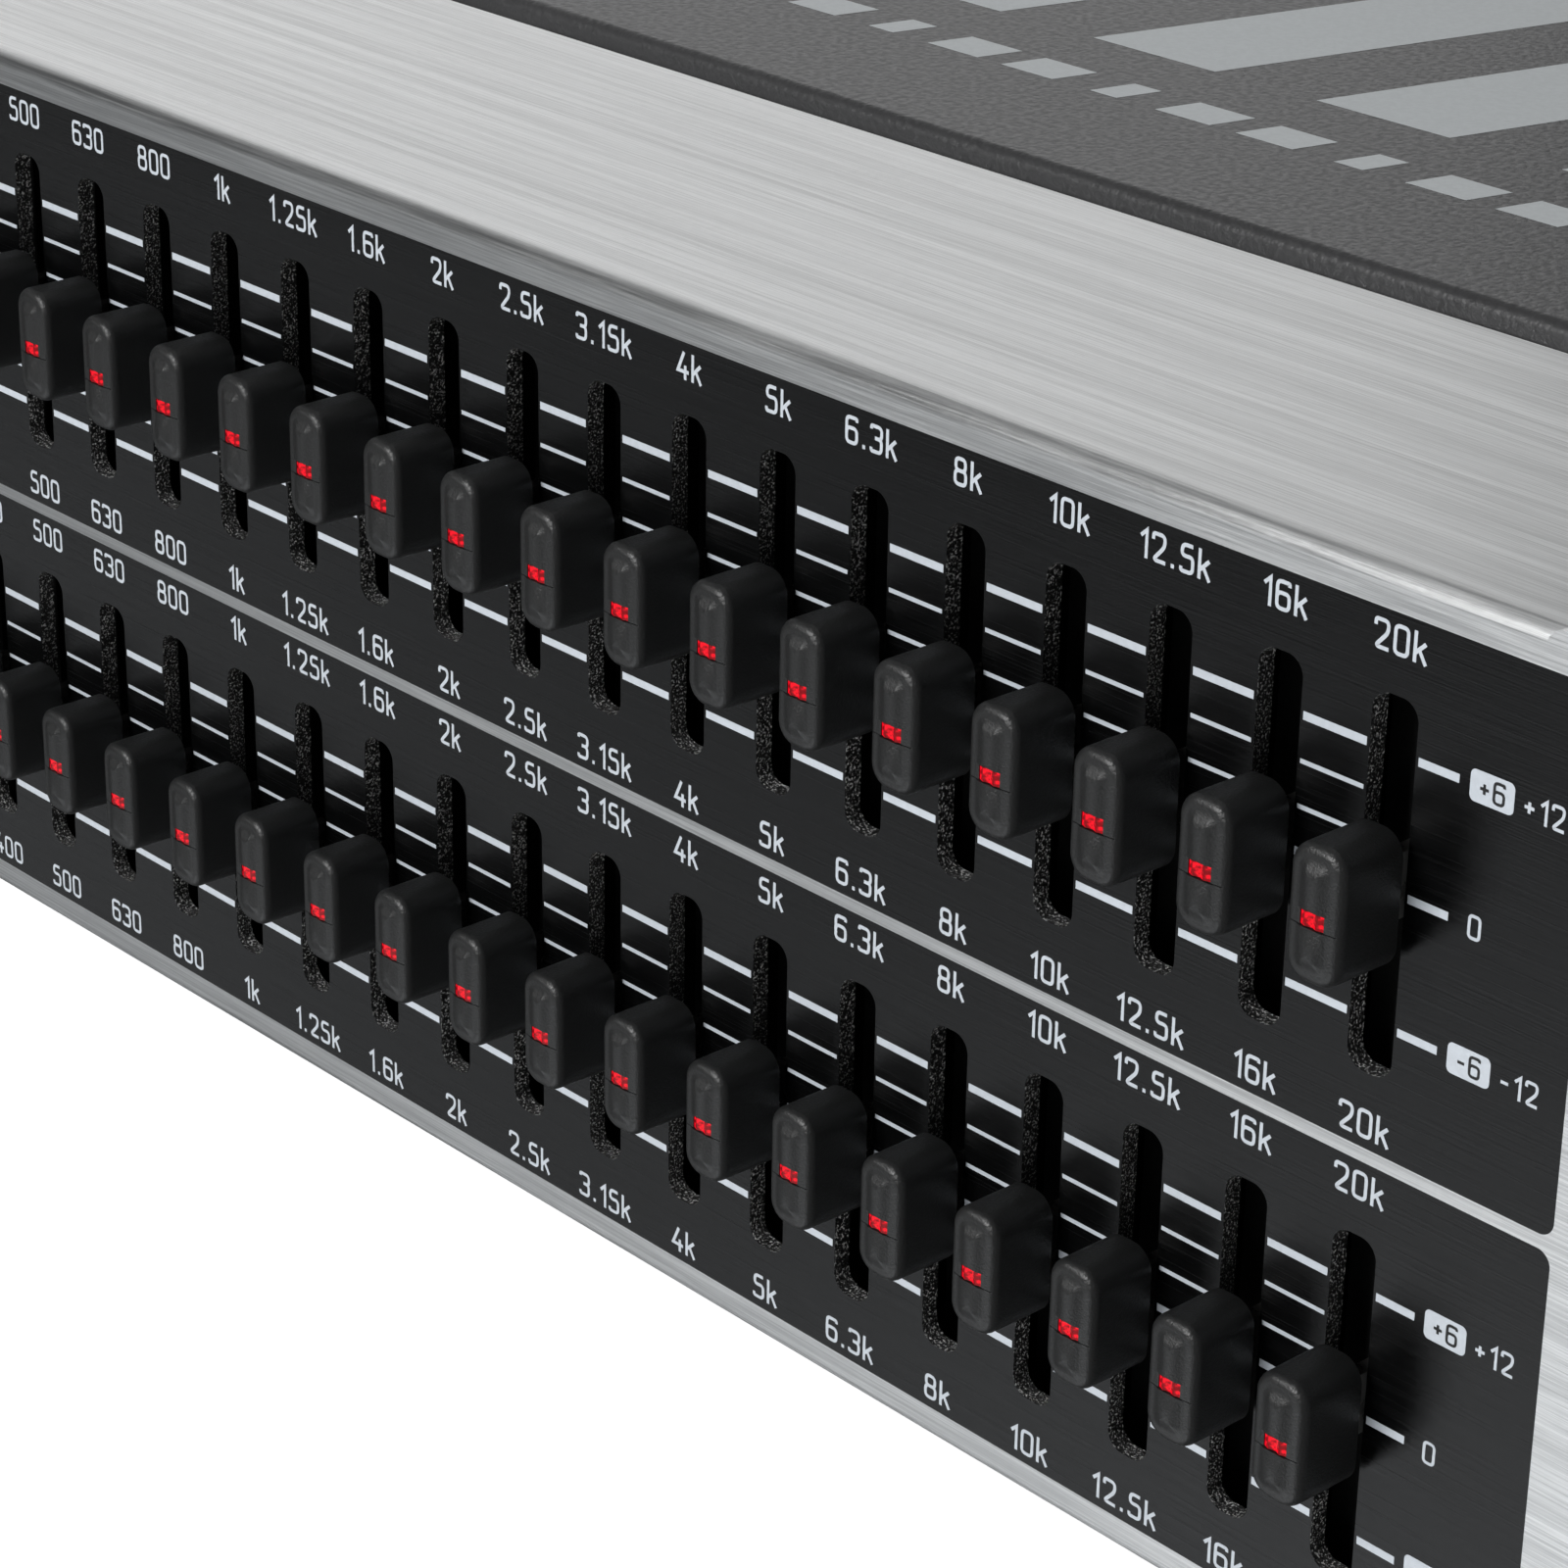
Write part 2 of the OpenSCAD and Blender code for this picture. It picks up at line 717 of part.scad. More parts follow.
// The rocker lies in its off position, tilted about its pivot
module power_rocker() {
    pin_l = rocker_w + 1.8;
    color([0.05, 0.05, 0.05]) translate([rocker_x, rocker_pivot_y, rocker_z]) rotate([-rocker_tilt, 0, 0]) {
        along_x(-rocker_w / 2, rocker_w / 2)
            polygon([[-3, -7], [-3, 7], [5.2, 8.1], [4, 0], [5.2, -8.1]]);
        translate([-pin_l / 2, 0, 0]) rotate([0, 90, 0]) cylinder(h = pin_l, d = rocker_pin_d);
    }
}

for (i = [0 : band_count - 1])
    placed() fader(i);
placed() front_panel();
placed() top_cover();
placed() chassis_tray();
placed() panel_screws();
placed() cover_screws();
placed() front_board();
placed() fader_housings();
placed() pots_and_switches();
placed() main_board();
placed() transformer();
placed() transformer_clamp();
placed() filter_capacitors();
placed() chips();
placed() heat_sink();
placed() standoffs();
placed() ribbon_cables();
placed() mains_inlet();
placed() power_switch_frame();
placed() power_rocker();
placed() xlr_sockets();
placed() phone_jacks();
placed() jack_nuts();
placed() level_meters();
placed() push_button(bypass_x, upper_z);  // bypass_button_upper
placed() push_button(bypass_x, lower_z);  // bypass_button_lower
placed() push_button(shift_x, upper_z);  // range_button
placed() push_button(shift_x, lower_z);  // low_cut_button
placed() level_knob(upper_z);  // level_knob_upper
placed() level_knob(lower_z);  // level_knob_lower
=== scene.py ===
"""Looks of the two-channel graphic equalizer. Everything is in metres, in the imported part's frame:
+X runs along the front to the high bands, +Y goes back, +Z is up, and the front faces -Y."""
import math

import bmesh
import bpy
from mathutils import Matrix, Vector


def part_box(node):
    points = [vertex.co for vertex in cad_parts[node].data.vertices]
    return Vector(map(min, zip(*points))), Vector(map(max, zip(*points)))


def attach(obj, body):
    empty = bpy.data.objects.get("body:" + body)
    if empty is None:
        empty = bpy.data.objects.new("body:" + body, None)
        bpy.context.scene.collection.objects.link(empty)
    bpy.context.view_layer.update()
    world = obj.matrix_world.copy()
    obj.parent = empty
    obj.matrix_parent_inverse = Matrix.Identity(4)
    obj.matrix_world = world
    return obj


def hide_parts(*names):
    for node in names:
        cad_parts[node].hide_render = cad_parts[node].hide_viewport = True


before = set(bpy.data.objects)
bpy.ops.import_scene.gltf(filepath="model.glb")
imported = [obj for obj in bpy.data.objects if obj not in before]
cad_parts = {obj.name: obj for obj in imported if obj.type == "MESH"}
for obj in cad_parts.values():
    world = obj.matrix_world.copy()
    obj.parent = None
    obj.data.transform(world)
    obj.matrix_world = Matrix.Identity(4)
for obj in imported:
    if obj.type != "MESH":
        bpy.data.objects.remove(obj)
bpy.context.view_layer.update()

MM = 0.001
PITCH = 10.16 * MM
HOUSING = "housing"
BUTTONS = ("bypass_button_upper", "bypass_button_lower", "range_button", "low_cut_button")
PALE_METAL = (0.99, 1.0, 1.0)
COLD_BLACK = (0.95, 1.0, 1.05)

BANDS = [
    ("20_hz", "20"), ("25_hz", "25"), ("31_5_hz", "31.5"), ("40_hz", "40"), ("50_hz", "50"),
    ("63_hz", "63"), ("80_hz", "80"), ("100_hz", "100"), ("125_hz", "125"), ("160_hz", "160"),
    ("200_hz", "200"), ("250_hz", "250"), ("315_hz", "315"), ("400_hz", "400"),
    ("500_hz", "500"), ("630_hz", "630"), ("800_hz", "800"), ("1_khz", "1k"),
    ("1_25_khz", "1.25k"), ("1_6_khz", "1.6k"), ("2_khz", "2k"), ("2_5_khz", "2.5k"),
    ("3_15_khz", "3.15k"), ("4_khz", "4k"), ("5_khz", "5k"), ("6_3_khz", "6.3k"),
    ("8_khz", "8k"), ("10_khz", "10k"), ("12_5_khz", "12.5k"), ("16_khz", "16k"),
    ("20_khz", "20k"),
]

# Places taken from the frame
PANEL_LOW, PANEL_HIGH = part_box("front_panel")
FRONT_Y = PANEL_LOW[1]
FLANGE_BACK_Y = PANEL_HIGH[1]
PANEL_MID_Z = (PANEL_LOW[2] + PANEL_HIGH[2]) / 2
REAR_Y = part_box("chassis_tray")[1][1]
COVER_TOP_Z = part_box("top_cover")[1][2]
COVER_FRONT_Y = FLANGE_BACK_Y + 0.2 * MM
ROW_Z = {"upper": PANEL_MID_Z + 2 * PITCH, "lower": PANEL_MID_Z - 2 * PITCH}


def centre_x(node):
    low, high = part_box(node)
    return (low[0] + high[0]) / 2


def centre_z(node):
    low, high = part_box(node)
    return (low[2] + high[2]) / 2


def segment_z(row_z, index):
    """The height of a level meter's segment, counted from its lowest."""
    return row_z + (index - METER_SEGMENTS // 2) * METER_STEP


BAND_X = [centre_x("fader_" + key) for key, _ in BANDS]
FIRST_X, LAST_X = BAND_X[0], BAND_X[-1]
KNOB_X = centre_x("level_knob_upper")
METER_X = centre_x("level_meters")
METER_STEP, METER_SEGMENTS = 3.0 * MM, 9

# The two black fields printed on the front
FIELD_HALF_W = LAST_X + 16.7 * MM
FIELD_EDGE = 2.9 * MM
FIELD_GAP = 1.1 * MM
FIELD_CORNER = 1.2 * MM
FIELD_H = (PANEL_HIGH[2] - PANEL_LOW[2]) / 2 - FIELD_EDGE - FIELD_GAP / 2
FIELD_Z = {"upper": PANEL_MID_Z + FIELD_GAP / 2 + FIELD_H / 2,
           "lower": PANEL_MID_Z - FIELD_GAP / 2 - FIELD_H / 2}

LEAST_CORNER = 0.02 * MM
SHARP_ANGLE = math.radians(35)

# Fader caps
CAP_W, CAP_H, CAP_D, CAP_GAP = 4.85 * MM, 10.2 * MM, 7.4 * MM, 1.0 * MM
CAP_CORNER, CAP_EDGE = 1.9 * MM, 0.75 * MM
CROWN_H, CROWN_W, CROWN_RINGS = 0.46 * MM, 1.6 * MM, 12
GROOVE_HALF_W, GROOVE_D = 2.05 * MM, 0.4 * MM
GROOVE_TOP, GROOVE_LOW = 0.36 * MM, -0.80 * MM
GROOVE_BROW, GROOVE_RAMP_D, GROOVE_RAMP_END = 0.62 * MM, 0.25 * MM, -1.5 * MM
CRACK_H, CRACK_D = 0.07 * MM, 0.2 * MM
LENS_HALF_W, LENS_TOP, POCKET_D = 1.05 * MM, 0.34 * MM, 0.5 * MM
LEVER_W, LEVER_H, LEVER_END = 1.2 * MM, 5 * MM, 8.6 * MM
LENS_GAP = 0.02 * MM


# ---------------------------------------------------------------- node helper

class Nodes:
    """Builds a material's node tree with short calls; inputs are sockets or plain values."""

    def __init__(self, name):
        self.material = bpy.data.materials.new(name)
        self.material.use_nodes = True
        self.tree = self.material.node_tree
        self.shader = self.tree.nodes["Principled BSDF"]

    def add(self, kind, settings=None, **inputs):
        node = self.tree.nodes.new("ShaderNode" + kind)
        for key, value in (settings or {}).items():
            setattr(node, key, value)
        for key, value in inputs.items():
            self.feed(node.inputs[key.replace("_", " ")], value)
        return node

    def feed(self, socket, value):
        if isinstance(value, bpy.types.NodeSocket):
            self.tree.links.new(value, socket)
        else:
            socket.default_value = value

    def math(self, operation, a, b=0.0, c=0.0):
        node = self.tree.nodes.new("ShaderNodeMath")
        node.operation = operation
        for socket, value in zip(node.inputs, (a, b, c)):
            self.feed(socket, value)
        return node.outputs[0]

    def smooth(self, value, low, high, to_low=0.0, to_high=1.0):
        node = self.add("MapRange", {"interpolation_type": "SMOOTHSTEP"}, Value=value)
        for key, number in (("From Min", low), ("From Max", high), ("To Min", to_low), ("To Max", to_high)):
            node.inputs[key].default_value = number
        return node.outputs[0]

    def mix(self, factor, a, b):
        node = self.tree.nodes.new("ShaderNodeMix")
        node.data_type = "RGBA"
        self.feed(node.inputs["Factor"], factor)
        self.feed(node.inputs[6], a)
        self.feed(node.inputs[7], b)
        return node.outputs[2]

    def place(self):
        return self.add("TexCoord").outputs["Object"]

    def axes(self, vector):
        node = self.add("SeparateXYZ", Vector=vector)
        return node.outputs[0], node.outputs[1], node.outputs[2]

    def stretched(self, vector, x, y, z):
        node = self.add("Mapping", {"vector_type": "POINT"}, Vector=vector)
        node.inputs["Scale"].default_value = (x, y, z)
        return node.outputs[0]

    def noise(self, vector, scale, detail=3.0, roughness=0.5):
        node = self.add("TexNoise", Vector=vector, Scale=scale, Detail=detail, Roughness=roughness)
        return node.outputs["Fac"]

    def bump(self, height, strength, distance, normal=None):
        node = self.add("Bump", Height=height, Strength=strength, Distance=distance)
        if normal is not None:
            self.feed(node.inputs["Normal"], normal)
        return node.outputs[0]

    def set(self, **inputs):
        for key, value in inputs.items():
            self.feed(self.shader.inputs[key.replace("_", " ")], value)
        return self.material


def grey(level, tint=(1.0, 1.0, 1.0)):
    return (level * tint[0], level * tint[1], level * tint[2], 1.0)


# ---------------------------------------------------------------- materials

def brushed_streaks(n, place):
    """Fine and broad parallel scratches that run along X."""
    thin = n.noise(n.stretched(place, 55.0, 5200.0, 5200.0), 1.0, 5.0, 0.75)
    wide = n.noise(n.stretched(place, 7.0, 900.0, 900.0), 1.0, 3.0, 0.6)
    return thin, wide


def printed_fields(n, x, z):
    """1 inside the two black fields with their round corners, 0 outside."""
    fields = None
    for row in ("upper", "lower"):
        from_side = n.math("SUBTRACT", n.math("ABSOLUTE", x), FIELD_HALF_W - FIELD_CORNER)
        over_x = n.math("MAXIMUM", from_side, 0.0)
        from_mid = n.math("ABSOLUTE", n.math("SUBTRACT", z, FIELD_Z[row]))
        over_z = n.math("MAXIMUM", n.math("SUBTRACT", from_mid, FIELD_H / 2 - FIELD_CORNER), 0.0)
        squares = n.math("ADD", n.math("MULTIPLY", over_x, over_x), n.math("MULTIPLY", over_z, over_z))
        field = n.math("LESS_THAN", n.math("SQRT", squares), FIELD_CORNER)
        fields = field if fields is None else n.math("MAXIMUM", fields, field)
    return fields


def brushed_front():
    """Brushed aluminium with the two black printed fields and the speckled cut edges of the slots, whose
    bright specks are painted glints.
    """
    n = Nodes("brushed_front")
    place = n.place()
    x, _, z = n.axes(place)
    thin, wide = brushed_streaks(n, place)
    fields = printed_fields(n, x, z)
    facing = n.axes(n.add("NewGeometry").outputs["Normal"])[1]
    cut_edge = n.math("MULTIPLY", fields, n.math("LESS_THAN", n.math("ABSOLUTE", facing), 0.7))

    streak = n.math("MULTIPLY_ADD", wide, 0.3, n.math("MULTIPLY", thin, 0.7))
    metal = n.mix(n.smooth(streak, 0.36, 0.64), grey(0.58, PALE_METAL), grey(0.90, PALE_METAL))
    ink = n.mix(n.smooth(streak, 0.42, 0.75), grey(0.0012, COLD_BLACK), grey(0.004, COLD_BLACK))
    grains = n.noise(place, 5200.0, 2.0, 0.6)
    # Slot walls: a black coat with grain, and sparse bright grains that are painted glints
    edge_grain_and_glints = n.mix(n.smooth(grains, 0.53, 0.66), grey(0.008), grey(0.80))
    colour = n.mix(cut_edge, n.mix(fields, metal, ink), edge_grain_and_glints)

    rough_metal = n.smooth(thin, 0.25, 0.75, 0.32, 0.48)
    rough_ink = n.smooth(thin, 0.25, 0.75, 0.17, 0.30)
    roughness = n.math("MULTIPLY_ADD", fields, n.math("SUBTRACT", rough_ink, rough_metal), rough_metal)
    roughness = n.math("MAXIMUM", roughness, n.math("MULTIPLY", cut_edge, 0.36))
    metallic = n.math("SUBTRACT", 1.0, fields)

    brushing = n.bump(thin, 0.30, 0.00006)
    relief = n.bump(n.math("MULTIPLY", grains, cut_edge), 1.0, 0.0005, brushing)
    tangent = n.add("Tangent", {"direction_type": "RADIAL", "axis": "X"}).outputs[0]
    return n.set(Base_Color=colour, Metallic=metallic, Roughness=roughness, Normal=relief,
                 Anisotropic=0.7, Specular_IOR_Level=0.32, Tangent=tangent)


def powder_coat():
    """Satin black coat with a fine orange-peel relief."""
    n = Nodes("powder_coat")
    place = n.place()
    peel = n.noise(place, 1500.0, 2.0, 0.5)
    patches = n.noise(place, 60.0, 3.0, 0.5)
    colour = n.mix(patches, grey(0.030, (1.0, 1.0, 1.03)), grey(0.038, (1.0, 1.0, 1.03)))
    roughness = n.smooth(peel, 0.3, 0.7, 0.36, 0.46)
    return n.set(Base_Color=colour, Roughness=roughness, Normal=n.bump(peel, 0.35, 0.00022))


def cap_plastic(name="cap_plastic", level=0.012, grain=6000.0, depth=0.00007):
    """Satin black moulding with a fine spark-eroded grain."""
    n = Nodes(name)
    place = n.place()
    grains = n.noise(place, grain, 2.0, 0.6)
    patches = n.noise(place, 280.0, 2.0, 0.5)
    colour = n.mix(patches, grey(level * 0.88, (0.97, 1.0, 1.0)), grey(level * 1.15, (0.97, 1.0, 1.0)))
    roughness = n.smooth(grains, 0.3, 0.7, 0.33, 0.47)
    return n.set(Base_Color=colour, Roughness=roughness, Normal=n.bump(grains, 0.6, depth))


def plain_plastic(name, colour, roughness, variation=0.12, grain=2600.0):
    """A moulded surface: slight colour variation and a fine grain."""
    n = Nodes(name)
    place = n.place()
    patches = n.noise(place, 140.0, 3.0, 0.5)
    low = tuple(c * (1.0 - variation) for c in colour) + (1.0,)
    high = tuple(min(c * (1.0 + variation), 1.0) for c in colour) + (1.0,)
    grains = n.noise(place, grain, 2.0, 0.5)
    return n.set(Base_Color=n.mix(patches, low, high),
                 Roughness=n.smooth(grains, 0.3, 0.7, roughness - 0.05, roughness + 0.05),
                 Normal=n.bump(grains, 0.25, 0.00004))


def plated_metal(name, colour, roughness):
    """Plated or turned metal with faint cloudy wear."""
    n = Nodes(name)
    place = n.place()
    clouds = n.noise(place, 220.0, 4.0, 0.6)
    low = tuple(c * 0.82 for c in colour) + (1.0,)
    high = tuple(min(c * 1.1, 1.0) for c in colour) + (1.0,)
    return n.set(Base_Color=n.mix(clouds, low, high), Metallic=1.0,
                 Roughness=n.smooth(clouds, 0.3, 0.7, roughness - 0.07, roughness + 0.1),
                 Normal=n.bump(n.noise(place, 3000.0, 2.0), 0.15, 0.00003))


def lit_lens(name, colour, glow):
    """A tinted, slightly lit window with darker flecks inside."""
    n = Nodes(name)
    flecks = n.noise(n.place(), 1500.0, 2.0, 0.55)
    dark = tuple(c * 0.45 for c in colour) + (1.0,)
    body = n.mix(n.smooth(flecks, 0.35, 0.65), dark, tuple(colour) + (1.0,))
    strength = n.smooth(flecks, 0.50, 0.62, glow * 0.12, glow * 2.6)
    return n.set(Base_Color=body, Roughness=0.22, IOR=1.49,
                 Emission_Color=body, Emission_Strength=strength)


def board_green():
    """Solder mask over copper tracks that run both ways."""
    n = Nodes("board")
    place = n.place()
    grid = n.add("TexBrick", Vector=place, Scale=260.0)
    grid.inputs["Mortar Size"].default_value = 0.03
    tracks = n.math("SUBTRACT", 1.0, grid.outputs["Fac"])
    colour = n.mix(tracks, (0.030, 0.20, 0.07, 1.0), (0.012, 0.11, 0.035, 1.0))
    roughness = n.smooth(n.noise(place, 400.0), 0.3, 0.7, 0.28, 0.38)
    return n.set(Base_Color=colour, Roughness=roughness, Coat_Weight=0.3)


def print_ink(name, level, tint):
    """Matt screen-printed ink, a little uneven."""
    n = Nodes(name)
    cover = n.noise(n.place(), 1800.0, 3.0, 0.6)
    colour = n.mix(n.smooth(cover, 0.3, 0.7), grey(level * 0.93, tint), grey(level, tint))
    return n.set(Base_Color=colour, Roughness=0.55)


def paper_floor():
    """Pale paper that glows faintly, so that it stays white around the object."""
    n = Nodes("pale_floor")
    clouds = n.noise(n.place(), 2.0, 2.0)
    return n.set(Base_Color=n.mix(clouds, grey(0.86), grey(0.89)), Roughness=0.85, Specular_IOR_Level=0.2,
                 Emission_Color=grey(1.0), Emission_Strength=0.6)


MATERIALS = {
    "brushed_front": brushed_front(),
    "powder_coat": powder_coat(),
    "cap_plastic": cap_plastic(),
    "knob_plastic": cap_plastic("knob_plastic", 0.018, 2600.0, 0.00009),
    "button_plastic": cap_plastic("button_plastic", 0.035, 3600.0, 0.00006),
    "rocker_plastic": plain_plastic("rocker_plastic", (0.015, 0.015, 0.016), 0.25),
    "screw_steel": plated_metal("screw_steel", (0.62, 0.62, 0.60), 0.3),
    "black_screw": plated_metal("black_screw", (0.05, 0.05, 0.055), 0.4),
    "board": board_green(),
    # The fader housings are coloured near black so that the insides of the slots read dark: painted shade
    "housing_shade_black": plain_plastic("housing_shade_black", (0.006, 0.006, 0.006), 0.7),
    "plated_steel": plated_metal("plated_steel", (0.64, 0.63, 0.60), 0.28),
    "switch_body": plain_plastic("switch_body", (0.04, 0.04, 0.042), 0.5),
    "winding_tape": plain_plastic("winding_tape", (0.55, 0.40, 0.09), 0.3),
    "capacitor_sleeve": plain_plastic("capacitor_sleeve", (0.015, 0.022, 0.075), 0.25),
    "chip_body": plain_plastic("chip_body", (0.02, 0.02, 0.021), 0.55),
    "heat_sink_metal": plated_metal("heat_sink_metal", (0.30, 0.30, 0.32), 0.45),
    "brass_post": plated_metal("brass_post", (0.72, 0.55, 0.24), 0.3),
    "ribbon_jacket": plain_plastic("ribbon_jacket", (0.33, 0.35, 0.38), 0.5),
    "inlet_body": plain_plastic("inlet_body", (0.022, 0.022, 0.023), 0.42),
    "socket_shell": plated_metal("socket_shell", (0.055, 0.055, 0.06), 0.42),
    "jack_body": plain_plastic("jack_body", (0.025, 0.025, 0.026), 0.4),
    "meter_bezel": plain_plastic("meter_bezel", (0.012, 0.012, 0.013), 0.22),
}
RED_LENS = lit_lens("red_lens", (0.34, 0.001, 0.006), 0.8)
AMBER_LENS = lit_lens("amber_lens", (0.60, 0.26, 0.01), 0.12)
GREEN_LENS = lit_lens("green_lens", (0.03, 0.42, 0.06), 0.12)
PALE_INK = print_ink("pale_ink", 0.53, (0.90, 0.97, 1.05))
BLACK_INK = print_ink("black_ink", 0.012, (1.0, 1.0, 1.0))
COVER_INK = print_ink("cover_ink", 0.60, (0.95, 1.0, 1.02))


# ---------------------------------------------------------------- mesh helpers

def finish_piece(name, mesh, material, body):
    """Makes an object of a mesh, with one material, smooth up to an angle, riding on a body."""
    if not mesh.materials:
        mesh.materials.append(material)
    mesh.polygons.foreach_set("use_smooth", [True] * len(mesh.polygons))
    mesh.set_sharp_from_angle(angle=SHARP_ANGLE)
    piece = bpy.data.objects.new(name, mesh)
    bpy.context.scene.collection.objects.link(piece)
    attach(piece, body)
    return piece


def mesh_from(name, points, faces):
    mesh = bpy.data.meshes.new(name)
    mesh.from_pydata([tuple(p) for p in points], [], faces)
    mesh.update()
    return mesh


def rounded_outline(w, h, r, steps):
    """Points around a rectangle with round corners, anticlockwise."""
    points = []
    for quarter, (sx, sz) in enumerate(((1, 1), (-1, 1), (-1, -1), (1, -1))):
        for i in range(steps + 1):
            angle = math.radians(90 * (quarter + i / steps))
            points.append((sx * (w / 2 - r) + r * math.cos(angle), sz * (h / 2 - r) + r * math.sin(angle)))
    return points


def pillow_mesh(name, w, h, back_y, front_y, corner, edge, corner_steps=10, edge_steps=8, crown=()):
    """A block that faces -Y, with round corners to its outline and a round edge to its face.
    crown adds rings of (inset, y) inside the edge."""
    points, faces = [], []
    rings = [(0.0, back_y), (0.0, front_y + edge)]
    for i in range(1, edge_steps + 1):
        angle = math.radians(90 * i / edge_steps)
        rings.append((edge * (1 - math.cos(angle)), front_y + edge * (1 - math.sin(angle))))
    rings += crown
    for inset, y in rings:
        radius = max(corner - inset, LEAST_CORNER)
        outline = rounded_outline(w - 2 * inset, h - 2 * inset, radius, corner_steps)
        points += [(px, y, pz) for px, pz in outline]
    count = 4 * (corner_steps + 1)
    for ring in range(len(rings) - 1):
        for i in range(count):
            a = ring * count + i
            b = ring * count + (i + 1) % count
            faces.append((a, b, b + count, a + count))
    faces.append(tuple(range(count - 1, -1, -1)))
    faces.append(tuple(range((len(rings) - 1) * count, len(rings) * count)))
    return mesh_from(name, points, faces)


def prism_x(name, outline, x0, x1):
    """An outline in Y and Z, extruded along X."""
    count = len(outline)
    points = [(x, y, z) for x in (x0, x1) for y, z in outline]
    faces = [(i, (i + 1) % count, (i + 1) % count + count, i + count) for i in range(count)]
    faces += [tuple(range(count - 1, -1, -1)), tuple(range(count, 2 * count))]
    return mesh_from(name, points, faces)


def revolved_mesh(name, profile, sides, shape=None):
    """Turns (radius, depth) points about an axis along -Y; shape(angle, index) scales a radius."""
    points, faces = [], []
    for index, (radius, depth) in enumerate(profile):
        for i in range(sides):
            angle = 2 * math.pi * i / sides
            r = radius * (shape(angle, index) if shape else 1.0)
            points.append((r * math.cos(angle), -depth, r * math.sin(angle)))
    for ring in range(len(profile) - 1):
        for i in range(sides):
            a = ring * sides + i
            b = ring * sides + (i + 1) % sides
            faces.append((a, b, b + sides, a + sides))
    faces.append(tuple(range(sides - 1, -1, -1)))
    faces.append(tuple(range((len(profile) - 1) * sides, len(profile) * sides)))
    return mesh_from(name, points, faces)


def turned(name, profile, sides):
    """A closed solid of revolution from (radius, depth) pairs in millimetres."""
    return outward(revolved_mesh(name, [(radius * MM, depth * MM) for radius, depth in profile], sides))


def outward(mesh):
    """Turns every face of a closed mesh outwards."""
    work = bmesh.new()
    work.from_mesh(mesh)
    bmesh.ops.recalc_face_normals(work, faces=work.faces)
    work.to_mesh(mesh)
    work.free()
    return mesh


def carved(mesh, *cutters):
    """The mesh with each cutter's space taken away."""
    body = bpy.data.objects.new("carve_body", outward(mesh))
    bpy.context.scene.collection.objects.link(body)
    tools = []
    for cutter in cutters:
        tool = bpy.data.objects.new("carve_tool", outward(cutter))
        bpy.context.scene.collection.objects.link(tool)
        tools.append(tool)
        modifier = body.modifiers.new("cut", "BOOLEAN")
        modifier.operation = "DIFFERENCE"
        modifier.solver = "EXACT"
        modifier.object = tool
    depsgraph = bpy.context.evaluated_depsgraph_get()
    result = bpy.data.meshes.new_from_object(body.evaluated_get(depsgraph))
    for thing in [body] + tools:
        bpy.data.objects.remove(thing)
    return result


# ---------------------------------------------------------------- printed strokes

GLYPH_W = 0.56
DOT_W = 0.16
BEND = 0.2
# Each glyph is a width and a list of strokes: (points, corner radius, closed)
GLYPHS = {
    "0": (GLYPH_W, [([(0, 0), (GLYPH_W, 0), (GLYPH_W, 1), (0, 1)], BEND, True)]),
    "1": (0.3, [([(0.02, 0.74), (0.3, 1), (0.3, -0.07)], 0, False)]),
    "2": (GLYPH_W, [([(0, 0.76), (0, 1), (GLYPH_W, 1), (GLYPH_W, 0.6), (0.02, 0), (GLYPH_W + 0.06, 0)],
                     BEND, False)]),
    "3": (GLYPH_W, [([(0, 0.86), (0, 1), (GLYPH_W, 1), (GLYPH_W, 0.53), (0.2, 0.53)], BEND, False),
                    ([(0.2, 0.53), (GLYPH_W, 0.53), (GLYPH_W, 0), (0, 0), (0, 0.14)], BEND, False)]),
    "4": (GLYPH_W, [([(0.36, 1.06), (0.0, 0.26), (0.64, 0.26)], 0, False),
                    ([(0.44, 0.52), (0.44, -0.07)], 0, False)]),
    "5": (GLYPH_W, [([(0.54, 1), (0.05, 1), (0.02, 0.57), (GLYPH_W, 0.60), (GLYPH_W, 0), (0, 0), (0, 0.16)],
                     BEND, False)]),
    "6": (GLYPH_W, [([(0, 0), (GLYPH_W, 0), (GLYPH_W, 0.58), (0, 0.58)], BEND, True),
                    ([(0, 0.3), (0, 1), (GLYPH_W, 1), (GLYPH_W, 0.86)], BEND, False)]),
    "8": (GLYPH_W, [([(0, 0), (GLYPH_W, 0), (GLYPH_W, 0.53), (0, 0.53)], BEND, True),
                    ([(0.03, 0.53), (0.53, 0.53), (0.53, 1), (0.03, 1)], BEND, True)]),
    "k": (0.5, [([(0, 1.07), (0, -0.07)], 0, False), ([(0.46, 0.70), (0.02, 0.28)], 0, False),
                ([(0.19, 0.42), (0.50, -0.07)], 0, False)]),
    ".": (DOT_W, [([(0.08, -0.07), (0.08, 0.09)], 0, False)]),
    "+": (0.5, [([(0, 0.46), (0.5, 0.46)], 0, False), ([(0.25, 0.21), (0.25, 0.71)], 0, False)]),
    "-": (0.4, [([(0, 0.46), (0.4, 0.46)], 0, False)]),
}
GLYPH_SPACE = 0.32
STROKE = 0.15


def bent(points, radius, closed, steps=5):
    """A path with its right-angled corners turned into arcs."""
    if radius == 0:
        return [Vector(p) for p in points]
    corners = [Vector(p) for p in points]
    count = len(corners)
    path = []
    for i, corner in enumerate(corners):
        if not closed and i in (0, count - 1):
            path.append(corner)
            continue
        back = corners[i - 1] - corner
        ahead = corners[(i + 1) % count] - corner
        r = min(radius, back.length / 2, ahead.length / 2)
        start = corner + back.normalized() * r
        end = corner + ahead.normalized() * r
        for k in range(steps + 1):
            t = k / steps
            path.append(start * (1 - t) ** 2 + corner * 2 * t * (1 - t) + end * t ** 2)
    return path


